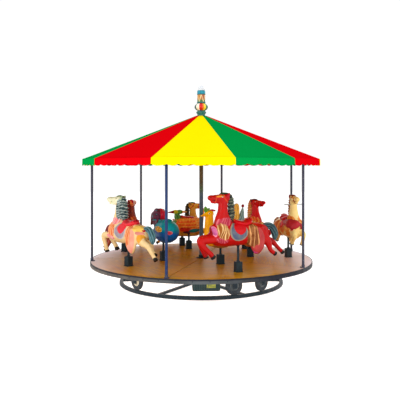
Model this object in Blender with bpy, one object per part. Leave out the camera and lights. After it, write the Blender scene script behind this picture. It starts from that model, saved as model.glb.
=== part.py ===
"""A small fairground carousel: a wheeled turntable with ride animals under a striped canopy.

Metres, +Z up. The origin is on the ground, on the turntable's axis. The front, where the red
horse stands, faces -Y. A bearing is measured about +Z from the front towards +X.
"""

import math

import bmesh
import bpy
from mathutils import Matrix, Vector

# Driving dimensions
GAP = 0.0003
DECK_RADIUS = 1.65
DECK_TOP = 0.353
DECK_THICKNESS = 0.018
RIM_HEIGHT = 0.060
RIM_THICKNESS = 0.008
RIM_BOTTOM = DECK_TOP - RIM_HEIGHT
ROUND_SIDES = 64
BEAM_WIDTH = 0.050

RING_RADIUS = 1.197
RING_HEIGHT = 0.046
RING_WIDTH = 0.050
SPOKE_COUNT = 6
SPOKE_WIDTH = 0.040
SPOKE_HEIGHT = 0.030
HUB_PLATE_RADIUS = 0.16
PIVOT_RADIUS = 0.038

WHEEL_RADIUS = 0.118
WHEEL_WIDTH = 0.050
WHEEL_SIDES = 20
WHEEL_HUB = 0.053
CHEEK_THICKNESS = 0.008
WHEEL_BEARINGS = (-47.0, 43.0, 133.0, -137.0)
DRIVE_BEARING = 21.0
AXLE_HEIGHT = RING_HEIGHT + GAP + WHEEL_RADIUS

POST_CIRCLE = 1.622
POST_BEARINGS = (-140.0, -80.0, -15.4, 59.0, 115.0, 167.0)
POST_RADIUS = 0.018
POST_FOOT_RADIUS = 0.034
COLUMN_RADIUS = 0.030

MOTOR_BEARING = 3.0
MOTOR_SIZE = (0.20, 0.36, 0.150)
MOTOR_FOOT = (0.13, 0.24, 0.0254)

CANOPY_APEX = 2.530
CANOPY_FOLD = 1.842
CANOPY_BOTTOM = 1.742
CANOPY_RADIUS = 1.760
COVER_THICKNESS = 0.008
FRONT_SEAMS = (-53.7, -20.4, 13.7, 43.2)
SEAM_COUNT = 12
TUBE_RADIUS = 0.013
EDGE_CIRCLE = CANOPY_RADIUS - 0.028
EDGE_DROP = 0.004
RAFTER_START = 0.085
RAFTER_END = EDGE_CIRCLE - 0.012
RAFTER_DIP = 0.006
CROWN_BOTTOM = CANOPY_APEX - 0.0847
CROWN_HEIGHT = 0.030
VALANCE_FLARE = 0.004

BALL_RADIUS = 0.103
BALL_HALF_HEIGHT = 0.066
DRUM_RADIUS = 0.061
CAP_RADIUS = 0.065

MOUNT_HEIGHT = 0.135
MOUNT_WIDTH = 0.090
POLE_RADIUS = 0.016
POLE_SIDES = 10
POLE_GRIP = 0.060
NECK_X = 0.210


def clear_scene():
    for old in list(bpy.data.objects):
        bpy.data.objects.remove(old, do_unlink=True)


def material(name, colour, roughness, metallic=0.0):
    made = bpy.data.materials.new(name)
    made.use_nodes = True
    shader = made.node_tree.nodes["Principled BSDF"]
    shader.inputs["Base Color"].default_value = (*colour, 1.0)
    shader.inputs["Roughness"].default_value = roughness
    shader.inputs["Metallic"].default_value = metallic
    return made


def object_from(bm, name, smooth=False):
    bmesh.ops.recalc_face_normals(bm, faces=bm.faces)
    mesh = bpy.data.meshes.new(name)
    bm.to_mesh(mesh)
    bm.free()
    if smooth:
        mesh.shade_smooth()
        mesh.set_sharp_from_angle(angle=math.radians(40.0))
    made = bpy.data.objects.new(name, mesh)
    bpy.context.collection.objects.link(made)
    return made


def painted(piece, paint):
    piece.data.materials.clear()
    piece.data.materials.append(paint)
    return piece


def radial(bearing, radius, height=0.0):
    """The point at this bearing from the front, this far from the axis."""
    turn = math.radians(bearing)
    return Vector((radius * math.sin(turn), -radius * math.cos(turn), height))


def outward(bearing):
    """A turn about +Z that carries +X to the outward direction at this bearing."""
    return Matrix.Rotation(math.radians(bearing - 90.0), 4, "Z")


def turned(name, profile, sides, ring=False):
    """A profile of (radius, height) points spun about +Z, open from axis to axis or a closed ring."""
    bm = bmesh.new()
    points = [bm.verts.new((radius, 0.0, height)) for radius, height in profile]
    edges = [bm.edges.new(pair) for pair in zip(points, points[1:])]
    if ring:
        edges.append(bm.edges.new((points[-1], points[0])))
    bmesh.ops.spin(
        bm, geom=points + edges, cent=(0, 0, 0), axis=(0, 0, 1),
        angle=math.tau, steps=sides, use_merge=True,
    )
    bmesh.ops.remove_doubles(bm, verts=bm.verts, dist=1e-6)
    return object_from(bm, name, smooth=True)


def rod(name, start, end, radius, sides=10):
    start = Vector(start)
    run = Vector(end) - start
    bm = bmesh.new()
    place = Matrix.Translation(start + run / 2) @ run.to_track_quat("Z", "Y").to_matrix().to_4x4()
    bmesh.ops.create_cone(
        bm, cap_ends=True, segments=sides, radius1=radius, radius2=radius,
        depth=run.length, matrix=place,
    )
    return object_from(bm, name, smooth=True)


def block(name, size, place, bevel=0.0):
    """A box of this size, centred where the matrix puts it."""
    bm = bmesh.new()
    bmesh.ops.create_cube(bm, size=1.0, matrix=Matrix.Diagonal((*size, 1.0)))
    if bevel:
        bmesh.ops.bevel(
            bm, geom=bm.edges[:], offset=bevel, segments=1, affect="EDGES", profile=0.5,
        )
    bmesh.ops.transform(bm, matrix=place, verts=bm.verts)
    return object_from(bm, name)


def joined(name, pieces, smooth=False, cuts=()):
    """One closed body: the first piece united with all the others, then cut by the cutters."""
    main = pieces[0]
    main.name = name
    for operation, tools in (("UNION", pieces[1:]), ("DIFFERENCE", cuts)):
        for tool in tools:
            step = main.modifiers.new("step", "BOOLEAN")
            step.operation = operation
            step.solver = "EXACT"
            step.object = tool
    graph = bpy.context.evaluated_depsgraph_get()
    mesh = bpy.data.meshes.new_from_object(main.evaluated_get(graph))
    mesh.name = name
    main.modifiers.clear()
    main.data = mesh
    for tool in (*pieces[1:], *cuts):
        bpy.data.objects.remove(tool, do_unlink=True)
    if smooth:
        mesh.shade_smooth()
        mesh.set_sharp_from_angle(angle=math.radians(40.0))
    return main


def under(parent, *pieces):
    """Parents the pieces to an empty on their joint's axis and leaves them where they are."""
    bpy.context.view_layer.update()
    for piece in pieces:
        piece.parent = parent
        piece.matrix_parent_inverse = parent.matrix_world.inverted()


def axis_empty(name, location):
    made = bpy.data.objects.new(name, None)
    made.location = location
    bpy.context.collection.objects.link(made)
    return made


def base_frame(steel):
    """The steel ring that the wheels run on, its spokes and the plate at the middle."""
    inner = RING_RADIUS - RING_WIDTH / 2
    outer = RING_RADIUS + RING_WIDTH / 2
    edge = 0.010
    profile = (
        (inner, 0.0), (outer, 0.0), (outer, RING_HEIGHT - edge),
        (outer - edge, RING_HEIGHT), (inner + edge, RING_HEIGHT), (inner, RING_HEIGHT - edge),
    )
    pieces = [turned("ring", profile, 60, ring=True)]
    for index in range(SPOKE_COUNT):
        bearing = index * 360.0 / SPOKE_COUNT - 30.0
        length = RING_RADIUS
        place = outward(bearing) @ Matrix.Translation((length / 2, 0.0, SPOKE_HEIGHT / 2 + 0.004))
        pieces.append(block("spoke", (length, SPOKE_WIDTH, SPOKE_HEIGHT), place))
    plate = ((0.0, 0.0), (HUB_PLATE_RADIUS, 0.0), (HUB_PLATE_RADIUS, 0.040), (0.0, 0.040))
    pieces.append(turned("plate", plate, 24))
    return painted(joined("base_frame", pieces), steel)


def pivot_post(steel):
    """The fixed pin at the middle that the turntable turns on."""
    bottom = 0.040 + GAP
    profile = (
        (0.0, bottom), (0.075, bottom), (0.075, bottom + 0.012), (PIVOT_RADIUS, bottom + 0.022),
        (PIVOT_RADIUS, RIM_BOTTOM - 0.030), (0.0, RIM_BOTTOM - 0.030),
    )
    return painted(turned("pivot_post", profile, 24), steel)


def wheel_fork(bearing):
    """Two cheeks and a top plate that hang a wheel under the turntable."""
    cheek_gap = WHEEL_WIDTH / 2 + 0.010
    top = RIM_BOTTOM + 0.012
    bottom = AXLE_HEIGHT - 0.030
    pieces = []
    for side in (-1.0, 1.0):
        where = RING_RADIUS + side * (cheek_gap + CHEEK_THICKNESS / 2)
        place = outward(bearing) @ Matrix.Translation((where, 0.0, (top + bottom) / 2))
        pieces.append(block("cheek", (CHEEK_THICKNESS, 0.060, top - bottom), place))
    return pieces


def platform_frame(steel):
    """The welded frame under the deck: hub, radial beams, wheel forks and a ring beam."""
    top = DECK_TOP - DECK_THICKNESS - GAP
    beam = top - RIM_BOTTOM
    middle = (top + RIM_BOTTOM) / 2
    ring_outer = RING_RADIUS + 0.070
    ring_inner = RING_RADIUS - 0.070
    profile = ((ring_inner, RIM_BOTTOM), (ring_outer, RIM_BOTTOM), (ring_outer, top), (ring_inner, top))
    pieces = [turned("ring_beam", profile, 48, ring=True)]
    hub = ((0.0, RIM_BOTTOM - 0.0297), (0.11, RIM_BOTTOM - 0.0297), (0.11, top), (0.0, top))
    pieces.append(turned("hub", hub, 24))
    rim_flat = (DECK_RADIUS - RIM_THICKNESS) * math.cos(math.pi / ROUND_SIDES)
    length = math.sqrt(rim_flat ** 2 - (BEAM_WIDTH / 2) ** 2) - GAP
    for bearing in POST_BEARINGS:
        place = outward(bearing) @ Matrix.Translation((length / 2, 0.0, middle))
        pieces.append(block("beam", (length, BEAM_WIDTH, beam - 0.002), place))
    for bearing in (*WHEEL_BEARINGS, DRIVE_BEARING):
        pieces.extend(wheel_fork(bearing))
    return painted(joined("platform_frame", pieces), steel)


def deck(wood):
    """The round plywood floor, with a hole for the column."""
    bottom = DECK_TOP - DECK_THICKNESS
    outer = DECK_RADIUS - RIM_THICKNESS - GAP
    inner = COLUMN_RADIUS + 0.004
    profile = ((inner, bottom), (outer, bottom), (outer, DECK_TOP), (inner, DECK_TOP))
    return painted(turned("deck", profile, ROUND_SIDES, ring=True), wood)


def rim_band(steel):
    """The band round the edge of the deck and its frame."""
    inner = DECK_RADIUS - RIM_THICKNESS
    profile = ((inner, RIM_BOTTOM), (DECK_RADIUS, RIM_BOTTOM), (DECK_RADIUS, DECK_TOP), (inner, DECK_TOP))
    return painted(turned("rim_band", profile, ROUND_SIDES, ring=True), steel)


def motor_box(green):
    """The gear motor that hangs from the frame beside the drive wheel."""
    middle = RING_RADIUS - 0.02
    turn = outward(MOTOR_BEARING)
    case = block("case", MOTOR_SIZE, turn @ Matrix.Translation((middle, 0.0, 0.20)), bevel=0.012)
    foot = block("foot", MOTOR_FOOT, turn @ Matrix.Translation((middle, 0.0, 0.28)))
    return painted(joined("motor_box", [case, foot]), green)


def wheel(name, bearing, rubber):
    """A wheel on its radial axle, with a corner of its tread straight down."""
    half = WHEEL_WIDTH / 2
    hub = WHEEL_HUB
    profile = (
        (0.0, -half - 0.004), (hub, -half - 0.004), (hub, -half + 0.008),
        (WHEEL_RADIUS * 0.72, -half + 0.008),
        (WHEEL_RADIUS * 0.78, -half), (WHEEL_RADIUS - 0.008, -half), (WHEEL_RADIUS, -half + 0.010),
        (WHEEL_RADIUS, half - 0.010), (WHEEL_RADIUS - 0.008, half), (WHEEL_RADIUS * 0.78, half),
        (WHEEL_RADIUS * 0.72, half - 0.008), (hub, half - 0.008), (hub, half + 0.004), (0.0, half + 0.004),
    )
    made = turned(name, profile, WHEEL_SIDES)
    lie = Matrix.Rotation(math.radians(90.0), 4, "Y")
    made.matrix_world = Matrix.Translation(radial(bearing, RING_RADIUS, AXLE_HEIGHT)) @ outward(bearing) @ lie
    return painted(made, rubber)


def post(name, bearing, steel):
    """A canopy post with its foot plate."""
    foot = rod("foot", radial(bearing, POST_CIRCLE - 0.012, DECK_TOP + GAP),
               radial(bearing, POST_CIRCLE - 0.012, DECK_TOP + 0.008), POST_FOOT_RADIUS, 12)
    top = hoop_height() - TUBE_RADIUS - GAP
    bottom = radial(bearing, POST_CIRCLE, DECK_TOP + 0.004)
    tube = rod("tube", bottom, radial(bearing, POST_CIRCLE, top), POST_RADIUS, 12)
    return painted(joined(name, [tube, foot], smooth=True), steel)


def canopy_slope():
    return math.atan2(CANOPY_APEX - CANOPY_FOLD, CANOPY_RADIUS)


def canopy_height(radius):
    """The height of the cover's outer face at this distance from the axis."""
    return CANOPY_APEX - radius * math.tan(canopy_slope())


def lining_height(radius):
    """The height of the cover's inner face."""
    return canopy_height(radius) - COVER_THICKNESS / math.cos(canopy_slope())


def rafter_height(radius):
    """The middle of a tube that lies against the cover's inner face."""
    return lining_height(radius) - (TUBE_RADIUS + GAP) / math.cos(canopy_slope())


def rafter_axis(radius):
    """The middle of a rafter, which dips a little under the cover towards the crown."""
    return rafter_height(radius) - RAFTER_DIP * (EDGE_CIRCLE - radius) / (EDGE_CIRCLE - RAFTER_START)


def hoop_height():
    """The middle of the hoop that the posts carry, just under the rafters."""
    return rafter_axis(POST_CIRCLE) - (TUBE_RADIUS + GAP) / math.cos(canopy_slope()) - TUBE_RADIUS


def seam_bearings():
    """Where the canopy's panels meet: the four front seams, and the rest spread evenly round the back."""
    rest = SEAM_COUNT - len(FRONT_SEAMS)
    step = (360.0 - FRONT_SEAMS[-1] + FRONT_SEAMS[0]) / (rest + 1)
    return FRONT_SEAMS + tuple(FRONT_SEAMS[-1] + step * (index + 1) for index in range(rest))


def canopy_bearings(steps):
    """This many steps to a panel, so that every seam lies on a ridge."""
    seams = seam_bearings()
    found = []
    for start, end in zip(seams, (*seams[1:], seams[0] + 360.0)):
        for step in range(steps):
            found.append(start + (end - start) * step / steps)
    return found


def around(name, profile, bearings):
    """A closed ring: the (radius, height) outline repeated at each bearing."""
    bm = bmesh.new()
    rings = []
    for bearing in bearings:
        rings.append([bm.verts.new(radial(bearing, radius, height)) for radius, height in profile])
    for first, second in zip(rings, (*rings[1:], rings[0])):
        for index in range(len(profile)):
            after = (index + 1) % len(profile)
            bm.faces.new((first[index], first[after], second[after], second[index]))
    return object_from(bm, name, smooth=True)


def centre_column(steel):
    top = canopy_height(0.0) - 0.085
    bottom = DECK_TOP - DECK_THICKNESS
    made = rod("centre_column", (0.0, 0.0, bottom), (0.0, 0.0, top), COLUMN_RADIUS, 20)
    return painted(made, steel)


def tube_outline(radius, height, corners=6):
    """The (radius, height) outline of a round tube bent into a hoop."""
    turns = [math.tau * (index + 0.5) / corners for index in range(corners)]
    return [(radius + TUBE_RADIUS * math.cos(turn), height + TUBE_RADIUS * math.sin(turn)) for turn in turns]


def canopy_hoop(name, radius, height, steel):
    """A tube bent into a hoop, with a corner at every seam and two between."""
    return painted(around(name, tube_outline(radius, height), canopy_bearings(3)), steel)


def canopy_rafters(steel):
    """The crown on the column, with a rafter from it under each seam."""
    top = CROWN_BOTTOM + CROWN_HEIGHT
    crown = ((0.0, CROWN_BOTTOM), (0.10, CROWN_BOTTOM), (0.10, top - 0.012), (0.07, top), (0.0, top))
    pieces = [turned("crown", crown, 24)]
    for bearing in seam_bearings():
        inner = radial(bearing, RAFTER_START, rafter_axis(RAFTER_START))
        outer = radial(bearing, RAFTER_END, rafter_axis(RAFTER_END))
        pieces.append(rod("rafter", inner, outer, TUBE_RADIUS, 8))
    return painted(joined("canopy_rafters", pieces, smooth=True), steel)


def canopy_cover(cloth):
    """The cover as a thin shell: a shallow cone."""
    top = 0.078
    profile = (
        (top, canopy_height(top)), (CANOPY_RADIUS, CANOPY_FOLD),
        (CANOPY_RADIUS, lining_height(CANOPY_RADIUS)), (top, lining_height(top)),
    )
    return painted(around("canopy_cover", profile, canopy_bearings(4)), cloth)


def canopy_valance(cloth):
    """The short strip that hangs from the cover's edge."""
    inner = CANOPY_RADIUS - COVER_THICKNESS
    seat = GAP / math.cos(canopy_slope())
    profile = (
        (CANOPY_RADIUS, lining_height(CANOPY_RADIUS) - seat),
        (CANOPY_RADIUS + VALANCE_FLARE, CANOPY_BOTTOM),
        (inner + VALANCE_FLARE, CANOPY_BOTTOM), (inner, lining_height(inner) - seat),
    )
    return painted(around("canopy_valance", profile, canopy_bearings(4)), cloth)


def finial(paints):
    """The ornament on the crown: a ball, a drum, a cap and a small lamp dome."""
    start = CANOPY_APEX - 0.0544
    ball_middle = CANOPY_APEX + 0.033 + BALL_HALF_HEIGHT
    profile = [(0.0, start), (0.060, start), (0.060, CANOPY_APEX - 0.010), (0.076, CANOPY_APEX + 0.012),
               (0.076, CANOPY_APEX + 0.026)]
    steps = 8
    for index in range(steps + 1):
        turn = math.radians(-55.0 + 110.0 * index / steps)
        profile.append((BALL_RADIUS * math.cos(turn), ball_middle + BALL_HALF_HEIGHT * math.sin(turn)))
    ball_top = ball_middle + BALL_HALF_HEIGHT * math.sin(math.radians(55.0))
    profile += [(0.050, ball_top + 0.004), (0.0, ball_top + 0.004)]
    ball = painted(turned("finial_ball", profile, 20), paints["finial_red"])
    drum_bottom = ball_top + 0.004 + GAP
    drum_top = drum_bottom + 0.130
    lip = DRUM_RADIUS + 0.006
    drum_profile = ((0.0, drum_bottom), (lip, drum_bottom), (lip, drum_bottom + 0.018),
                    (DRUM_RADIUS, drum_bottom + 0.022), (DRUM_RADIUS, drum_top), (0.0, drum_top))
    drum = painted(turned("finial_drum", drum_profile, 24), paints["finial_drum"])
    cap_bottom = drum_top + GAP
    cap_top = cap_bottom + 0.062
    cap_profile = ((0.0, cap_bottom), (CAP_RADIUS, cap_bottom), (CAP_RADIUS, cap_bottom + 0.044),
                   (CAP_RADIUS - 0.010, cap_top), (0.0, cap_top))
    cap = painted(turned("finial_cap", cap_profile, 24), paints["teal"])
    lamp_bottom = cap_top + GAP
    lamp_profile = [(0.0, lamp_bottom)]
    for index in range(6):
        turn = math.radians(90.0 * index / 6)
        lamp_profile.append((0.056 * math.cos(turn), lamp_bottom + 0.080 * math.sin(turn)))
    lamp_profile.append((0.0, lamp_bottom + 0.080))
    lamp = painted(turned("finial_lamp", lamp_profile, 20), paints["lamp"])
    return [ball, drum, cap, lamp]


def limb(stations, sides=8):
    """A closed tube through (x, y, z, half width, half height) stations, in an animal's own frame.

    The animal faces +X with its left side towards +Y, and a limb's width lies along Y.
    """
    points = [Vector(station[:3]) for station in stations]
    bm = bmesh.new()
    rings = []
    for index, (*_, half_width, half_height) in enumerate(stations):
        before = points[max(index - 1, 0)]
        after = points[min(index + 1, len(points) - 1)]
        along = (after - before).normalized()
        side = (Vector((0.0, 1.0, 0.0)) - along * along.y).normalized()
        rise = along.cross(side)
        ring = []
        for corner in range(sides):
            turn = math.tau * corner / sides
            offset = side * (half_width * math.cos(turn)) + rise * (half_height * math.sin(turn))
            ring.append(bm.verts.new(points[index] + offset))
        rings.append(ring)
    for first, second in zip(rings, rings[1:]):
        for corner in range(sides):
            after = (corner + 1) % sides
            bm.faces.new((first[corner], first[after], second[after], second[corner]))
    bm.faces.new(rings[0][::-1])
    bm.faces.new(rings[-1])
    return object_from(bm, "limb", smooth=True)


def lifted(stations, belly, size):
    """Stations drawn from the belly up, scaled and set at the belly's real height."""
    return [
        (x * size, y * size, belly + z * size, wide * size, tall * size)
        for x, y, z, wide, tall in stations
    ]


def mirrored(stations):
    return [(x, -y, *rest) for x, y, *rest in stations]


def turned_head(stations, look):
    """Stations swung about the top of the neck, for a head that looks this many degrees to its left."""
    swing = Matrix.Rotation(math.radians(look), 2)
    found = []
    for x, y, *rest in stations:
        place = swing @ Vector((x - NECK_X, y))
        found.append((NECK_X + place.x, place.y, *rest))
    return found


def folded(stations, reach):
    """A foreleg drawn in towards the shoulder and the knee, to this share of its reach."""
    shoulder, knee = 0.240, 0.090
    found = []
    for x, y, z, *rest in stations:
        height = z if z > knee else knee + (z - knee) * reach
        found.append((shoulder + (x - shoulder) * reach, y, height, *rest))
    return found


def horse(look=0.0, lead=1.0, reach=1.0):
    """A galloping horse: thick neck, level head, raised front legs, stretched hind legs, arched tail.

    A lead of -1 swaps the left legs with the right ones, and a reach under 1 folds the forelegs.
    """
    torso = [(0.385, 0.0, 0.200, 0.040, 0.050), (0.362, 0.0, 0.200, 0.090, 0.100),
             (0.300, 0.0, 0.175, 0.128, 0.165), (0.180, 0.0, 0.155, 0.138, 0.160),
             (-0.050, 0.0, 0.150, 0.132, 0.148), (-0.220, 0.0, 0.152, 0.128, 0.142),
             (-0.340, 0.0, 0.160, 0.118, 0.125), (-0.405, 0.0, 0.175, 0.085, 0.090),
             (-0.440, 0.0, 0.185, 0.035, 0.045)]
    neck = [(0.210, 0.0, 0.220, 0.100, 0.145), (0.226, 0.0, 0.350, 0.080, 0.110),
            (0.224, 0.0, 0.445, 0.064, 0.072), (0.220, 0.0, 0.540, 0.056, 0.064),
            (0.206, 0.0, 0.610, 0.048, 0.060), (0.200, 0.0, 0.650, 0.030, 0.040)]
    head = [(0.130, 0.0, 0.632, 0.028, 0.030), (0.175, 0.0, 0.628, 0.052, 0.055),
            (0.260, 0.0, 0.622, 0.050, 0.055), (0.340, 0.0, 0.624, 0.042, 0.043),
            (0.400, 0.0, 0.630, 0.038, 0.037), (0.434, 0.0, 0.634, 0.020, 0.022)]
    jaw = [(0.240, 0.0, 0.588, 0.036, 0.030), (0.330, 0.0, 0.578, 0.028, 0.022),
           (0.392, 0.0, 0.573, 0.018, 0.012)]
    ear = [(0.172, 0.032, 0.640, 0.018, 0.020), (0.156, 0.036, 0.672, 0.014, 0.014),
           (0.142, 0.038, 0.692, 0.004, 0.004)]
    mane = [(0.120, 0.0, 0.668, 0.018, 0.020), (0.108, 0.0, 0.600, 0.030, 0.042),
            (0.104, 0.0, 0.500, 0.038, 0.048),
            (0.100, 0.0, 0.400, 0.040, 0.050), (0.090, 0.0, 0.335, 0.025, 0.035)]
    near_fore = [(0.240, 0.070, 0.150, 0.052, 0.085), (0.400, 0.076, 0.105, 0.050, 0.056),
                 (0.555, 0.080, 0.095, 0.042, 0.048), (0.545, 0.080, 0.035, 0.036, 0.042),
                 (0.475, 0.080, -0.035, 0.030, 0.034), (0.415, 0.080, -0.095, 0.032, 0.034),
                 (0.388, 0.080, -0.130, 0.033, 0.028)]
    far_fore = [(0.240, -0.070, 0.150, 0.052, 0.085), (0.380, -0.076, 0.105, 0.048, 0.056),
                (0.505, -0.080, 0.090, 0.040, 0.046), (0.500, -0.080, 0.020, 0.034, 0.038),
                (0.465, -0.080, -0.060, 0.028, 0.032), (0.430, -0.080, -0.125, 0.031, 0.032),
                (0.418, -0.080, -0.152, 0.032, 0.026)]
    near_hind = [(-0.300, 0.070, 0.140, 0.068, 0.110), (-0.385, 0.078, 0.050, 0.052, 0.062),
                 (-0.420, 0.082, -0.015, 0.036, 0.042), (-0.432, 0.085, -0.065, 0.028, 0.030),
                 (-0.478, 0.085, -0.108, 0.029, 0.030), (-0.512, 0.085, -0.130, 0.030, 0.024)]
    far_hind = [(-0.300, -0.070, 0.140, 0.068, 0.110), (-0.430, -0.078, 0.060, 0.052, 0.058),
                (-0.550, -0.082, 0.020, 0.038, 0.042), (-0.625, -0.085, -0.050, 0.028, 0.030),
                (-0.695, -0.085, -0.118, 0.028, 0.028), (-0.730, -0.085, -0.150, 0.029, 0.023)]
    legs = (folded(near_fore, reach), folded(far_fore, reach), near_hind, far_hind)
    tail = [(-0.370, 0.0, 0.225, 0.032, 0.034), (-0.430, 0.0, 0.245, 0.036, 0.036),
            (-0.500, 0.0, 0.225, 0.042, 0.042),
            (-0.540, 0.0, 0.165, 0.044, 0.044), (-0.552, 0.0, 0.100, 0.038, 0.038),
            (-0.548, 0.0, 0.045, 0.012, 0.014)]
    skirt = [(-0.260, 0.085, 0.240, 0.038, 0.100), (-0.260, 0.112, 0.120, 0.042, 0.120),
             (-0.260, 0.118, 0.000, 0.038, 0.105), (-0.260, 0.112, -0.070, 0.028, 0.068),
             (-0.260, 0.106, -0.110, 0.012, 0.030)]
    plain_skirt = mirrored([*skirt[:2], (-0.260, 0.110, 0.030, 0.022, 0.060)])
    saddle = [(0.090, 0.0, 0.330, 0.045, 0.030), (0.045, 0.0, 0.305, 0.098, 0.036),
              (-0.070, 0.0, 0.288, 0.106, 0.036),
              (-0.145, 0.0, 0.308, 0.092, 0.042), (-0.180, 0.0, 0.332, 0.045, 0.030)]
    return [
        (10, torso), (8, neck), (8, turned_head(head, look)), (6, turned_head(jaw, look)),
        (6, turned_head(ear, look)), (6, turned_head(mirrored(ear), look)), (6, mane),
        *((6, leg if lead > 0.0 else mirrored(leg)) for leg in legs),
        (6, tail), (6, skirt), (6, plain_skirt), (8, saddle),
    ]


def bird_body():
    """The body and wings of a slim bird."""
    wing = [(0.100, 0.105, 0.160, 0.022, 0.045), (-0.020, 0.122, 0.170, 0.030, 0.075),
            (-0.150, 0.108, 0.185, 0.026, 0.050), (-0.235, 0.085, 0.200, 0.008, 0.012)]
    torso = [(0.235, 0.0, 0.160, 0.030, 0.040), (0.200, 0.0, 0.155, 0.085, 0.098),
             (0.080, 0.0, 0.140, 0.122, 0.135), (-0.080, 0.0, 0.140, 0.124, 0.138),
             (-0.200, 0.0, 0.165, 0.086, 0.096), (-0.262, 0.0, 0.190, 0.042, 0.050),
             (-0.280, 0.0, 0.200, 0.018, 0.022)]
    return [(10, torso), (6, wing), (6, mirrored(wing))]


def rooster():
    """A bird with a tall neck, a flat comb, a leaf-shaped crest and two upright tail feathers."""
    plume = [(-0.190, 0.0, 0.220, 0.032, 0.045), (-0.250, 0.0, 0.380, 0.030, 0.042),
             (-0.262, 0.0, 0.540, 0.030, 0.044),
             (-0.262, 0.0, 0.600, 0.024, 0.032), (-0.260, 0.0, 0.622, 0.010, 0.012)]
    stem = [(-0.230, 0.0, 0.230, 0.030, 0.050), (-0.325, 0.0, 0.360, 0.028, 0.048),
            (-0.358, 0.0, 0.490, 0.020, 0.030),
            (-0.366, 0.0, 0.550, 0.008, 0.010), (-0.368, 0.0, 0.568, 0.018, 0.020),
            (-0.370, 0.0, 0.590, 0.021, 0.021),
            (-0.371, 0.0, 0.606, 0.012, 0.012)]
    neck = [(0.170, 0.0, 0.180, 0.075, 0.088), (0.182, 0.0, 0.300, 0.055, 0.070),
            (0.180, 0.0, 0.400, 0.048, 0.064),
            (0.180, 0.0, 0.470, 0.044, 0.056), (0.185, 0.0, 0.512, 0.028, 0.032)]
    head = [(0.120, 0.0, 0.490, 0.030, 0.030), (0.165, 0.0, 0.494, 0.048, 0.044),
            (0.215, 0.0, 0.488, 0.042, 0.038),
            (0.262, 0.0, 0.474, 0.026, 0.022), (0.315, 0.0, 0.464, 0.006, 0.008)]
    comb = [(0.090, 0.0, 0.530, 0.010, 0.010), (0.140, 0.0, 0.536, 0.015, 0.016),
            (0.195, 0.0, 0.528, 0.012, 0.012)]
    crest = [(0.222, 0.0, 0.505, 0.014, 0.020), (0.236, 0.0, 0.555, 0.020, 0.030),
             (0.245, 0.0, 0.592, 0.005, 0.008)]
    return [*bird_body(), (6, plume), (6, stem), (8, neck), (8, head), (6, comb), (6, crest)]


def round_bird():
    """A deep-bodied bird with a short neck, a big lowered head and a comb behind it."""
    torso = [(0.235, 0.0, 0.160, 0.030, 0.040), (0.195, 0.0, 0.155, 0.088, 0.100),
             (0.080, 0.0, 0.150, 0.135, 0.148),
             (-0.080, 0.0, 0.155, 0.150, 0.156), (-0.200, 0.0, 0.178, 0.134, 0.140),
             (-0.275, 0.0, 0.205, 0.086, 0.090),
             (-0.310, 0.0, 0.220, 0.030, 0.036)]
    neck = [(0.110, 0.0, 0.190, 0.085, 0.095), (0.150, 0.0, 0.290, 0.075, 0.085),
            (0.165, 0.0, 0.350, 0.060, 0.070)]
    head = [(0.060, 0.0, 0.390, 0.035, 0.040), (0.110, 0.0, 0.400, 0.076, 0.088),
            (0.185, 0.0, 0.385, 0.080, 0.090),
            (0.245, 0.0, 0.350, 0.055, 0.056), (0.300, 0.0, 0.312, 0.022, 0.024)]
    comb = [(0.060, 0.0, 0.330, 0.040, 0.034), (0.060, 0.0, 0.430, 0.046, 0.044),
            (0.090, 0.0, 0.490, 0.022, 0.020)]
    return [(10, torso), (8, neck), (8, head), (6, comb)]


def ruffled_bird():
    """A bird with a slim raised neck and a long tail that curls back to a pointed tip."""
    neck = [(0.190, 0.0, 0.170, 0.050, 0.060), (0.225, 0.0, 0.280, 0.032, 0.034),
            (0.235, 0.0, 0.370, 0.030, 0.032),
            (0.240, 0.0, 0.410, 0.016, 0.018)]
    head = [(0.215, 0.0, 0.385, 0.024, 0.026), (0.255, 0.0, 0.385, 0.034, 0.032),
            (0.300, 0.0, 0.372, 0.010, 0.010)]
    stem = [(-0.140, 0.0, 0.200, 0.060, 0.060), (-0.190, 0.0, 0.300, 0.050, 0.052),
            (-0.200, 0.0, 0.380, 0.040, 0.044),
            (-0.180, 0.0, 0.425, 0.014, 0.018)]
    tip = [(-0.165, 0.0, 0.400, 0.034, 0.030), (-0.230, 0.0, 0.408, 0.036, 0.032),
           (-0.290, 0.0, 0.402, 0.024, 0.020),
           (-0.360, 0.0, 0.398, 0.006, 0.008)]
    return [*bird_body(), (8, neck), (6, head), (8, stem), (6, tip)]


def set_on(piece, bearing, radius, yaw):
    """Stands a piece on the deck's circle, left side outward, then turned yaw degrees to its left."""
    turn = Matrix.Rotation(math.radians(bearing + 180.0 + yaw), 4, "Z")
    piece.matrix_world = Matrix.Translation(radial(bearing, radius)) @ turn


def pole_top(belly):
    return belly + POLE_GRIP


def animal(name, shapes, paint, bearing, radius, yaw, belly, size):
    """One carved body from (sides, stations) shapes, with a hole in its belly for the pole."""
    pieces = [limb(lifted(stations, belly, size), sides) for sides, stations in shapes]
    hole = rod("hole", (0.0, 0.0, belly - 0.2),
    (0.0, 0.0, pole_top(belly) + GAP), POLE_RADIUS + GAP, POLE_SIDES)
    made = painted(joined(name, pieces, smooth=True, cuts=[hole]), paint)
    set_on(made, bearing, radius, yaw)
    return made


def mount(name, bearing, radius, yaw, belly, steel):
    """A square socket bolted to the deck, and the pole in it that carries an animal."""
    place = Matrix.Translation((0.0, 0.0, DECK_TOP + GAP + MOUNT_HEIGHT / 2))
    socket = block("socket", (MOUNT_WIDTH, MOUNT_WIDTH, MOUNT_HEIGHT), place, bevel=0.006)
    pole = rod("pole", (0.0, 0.0, DECK_TOP + 0.05), (0.0, 0.0, pole_top(belly)), POLE_RADIUS, POLE_SIDES)
    made = painted(joined(name, [socket, pole]), steel)
    set_on(made, bearing, radius, yaw)
    return made


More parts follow.
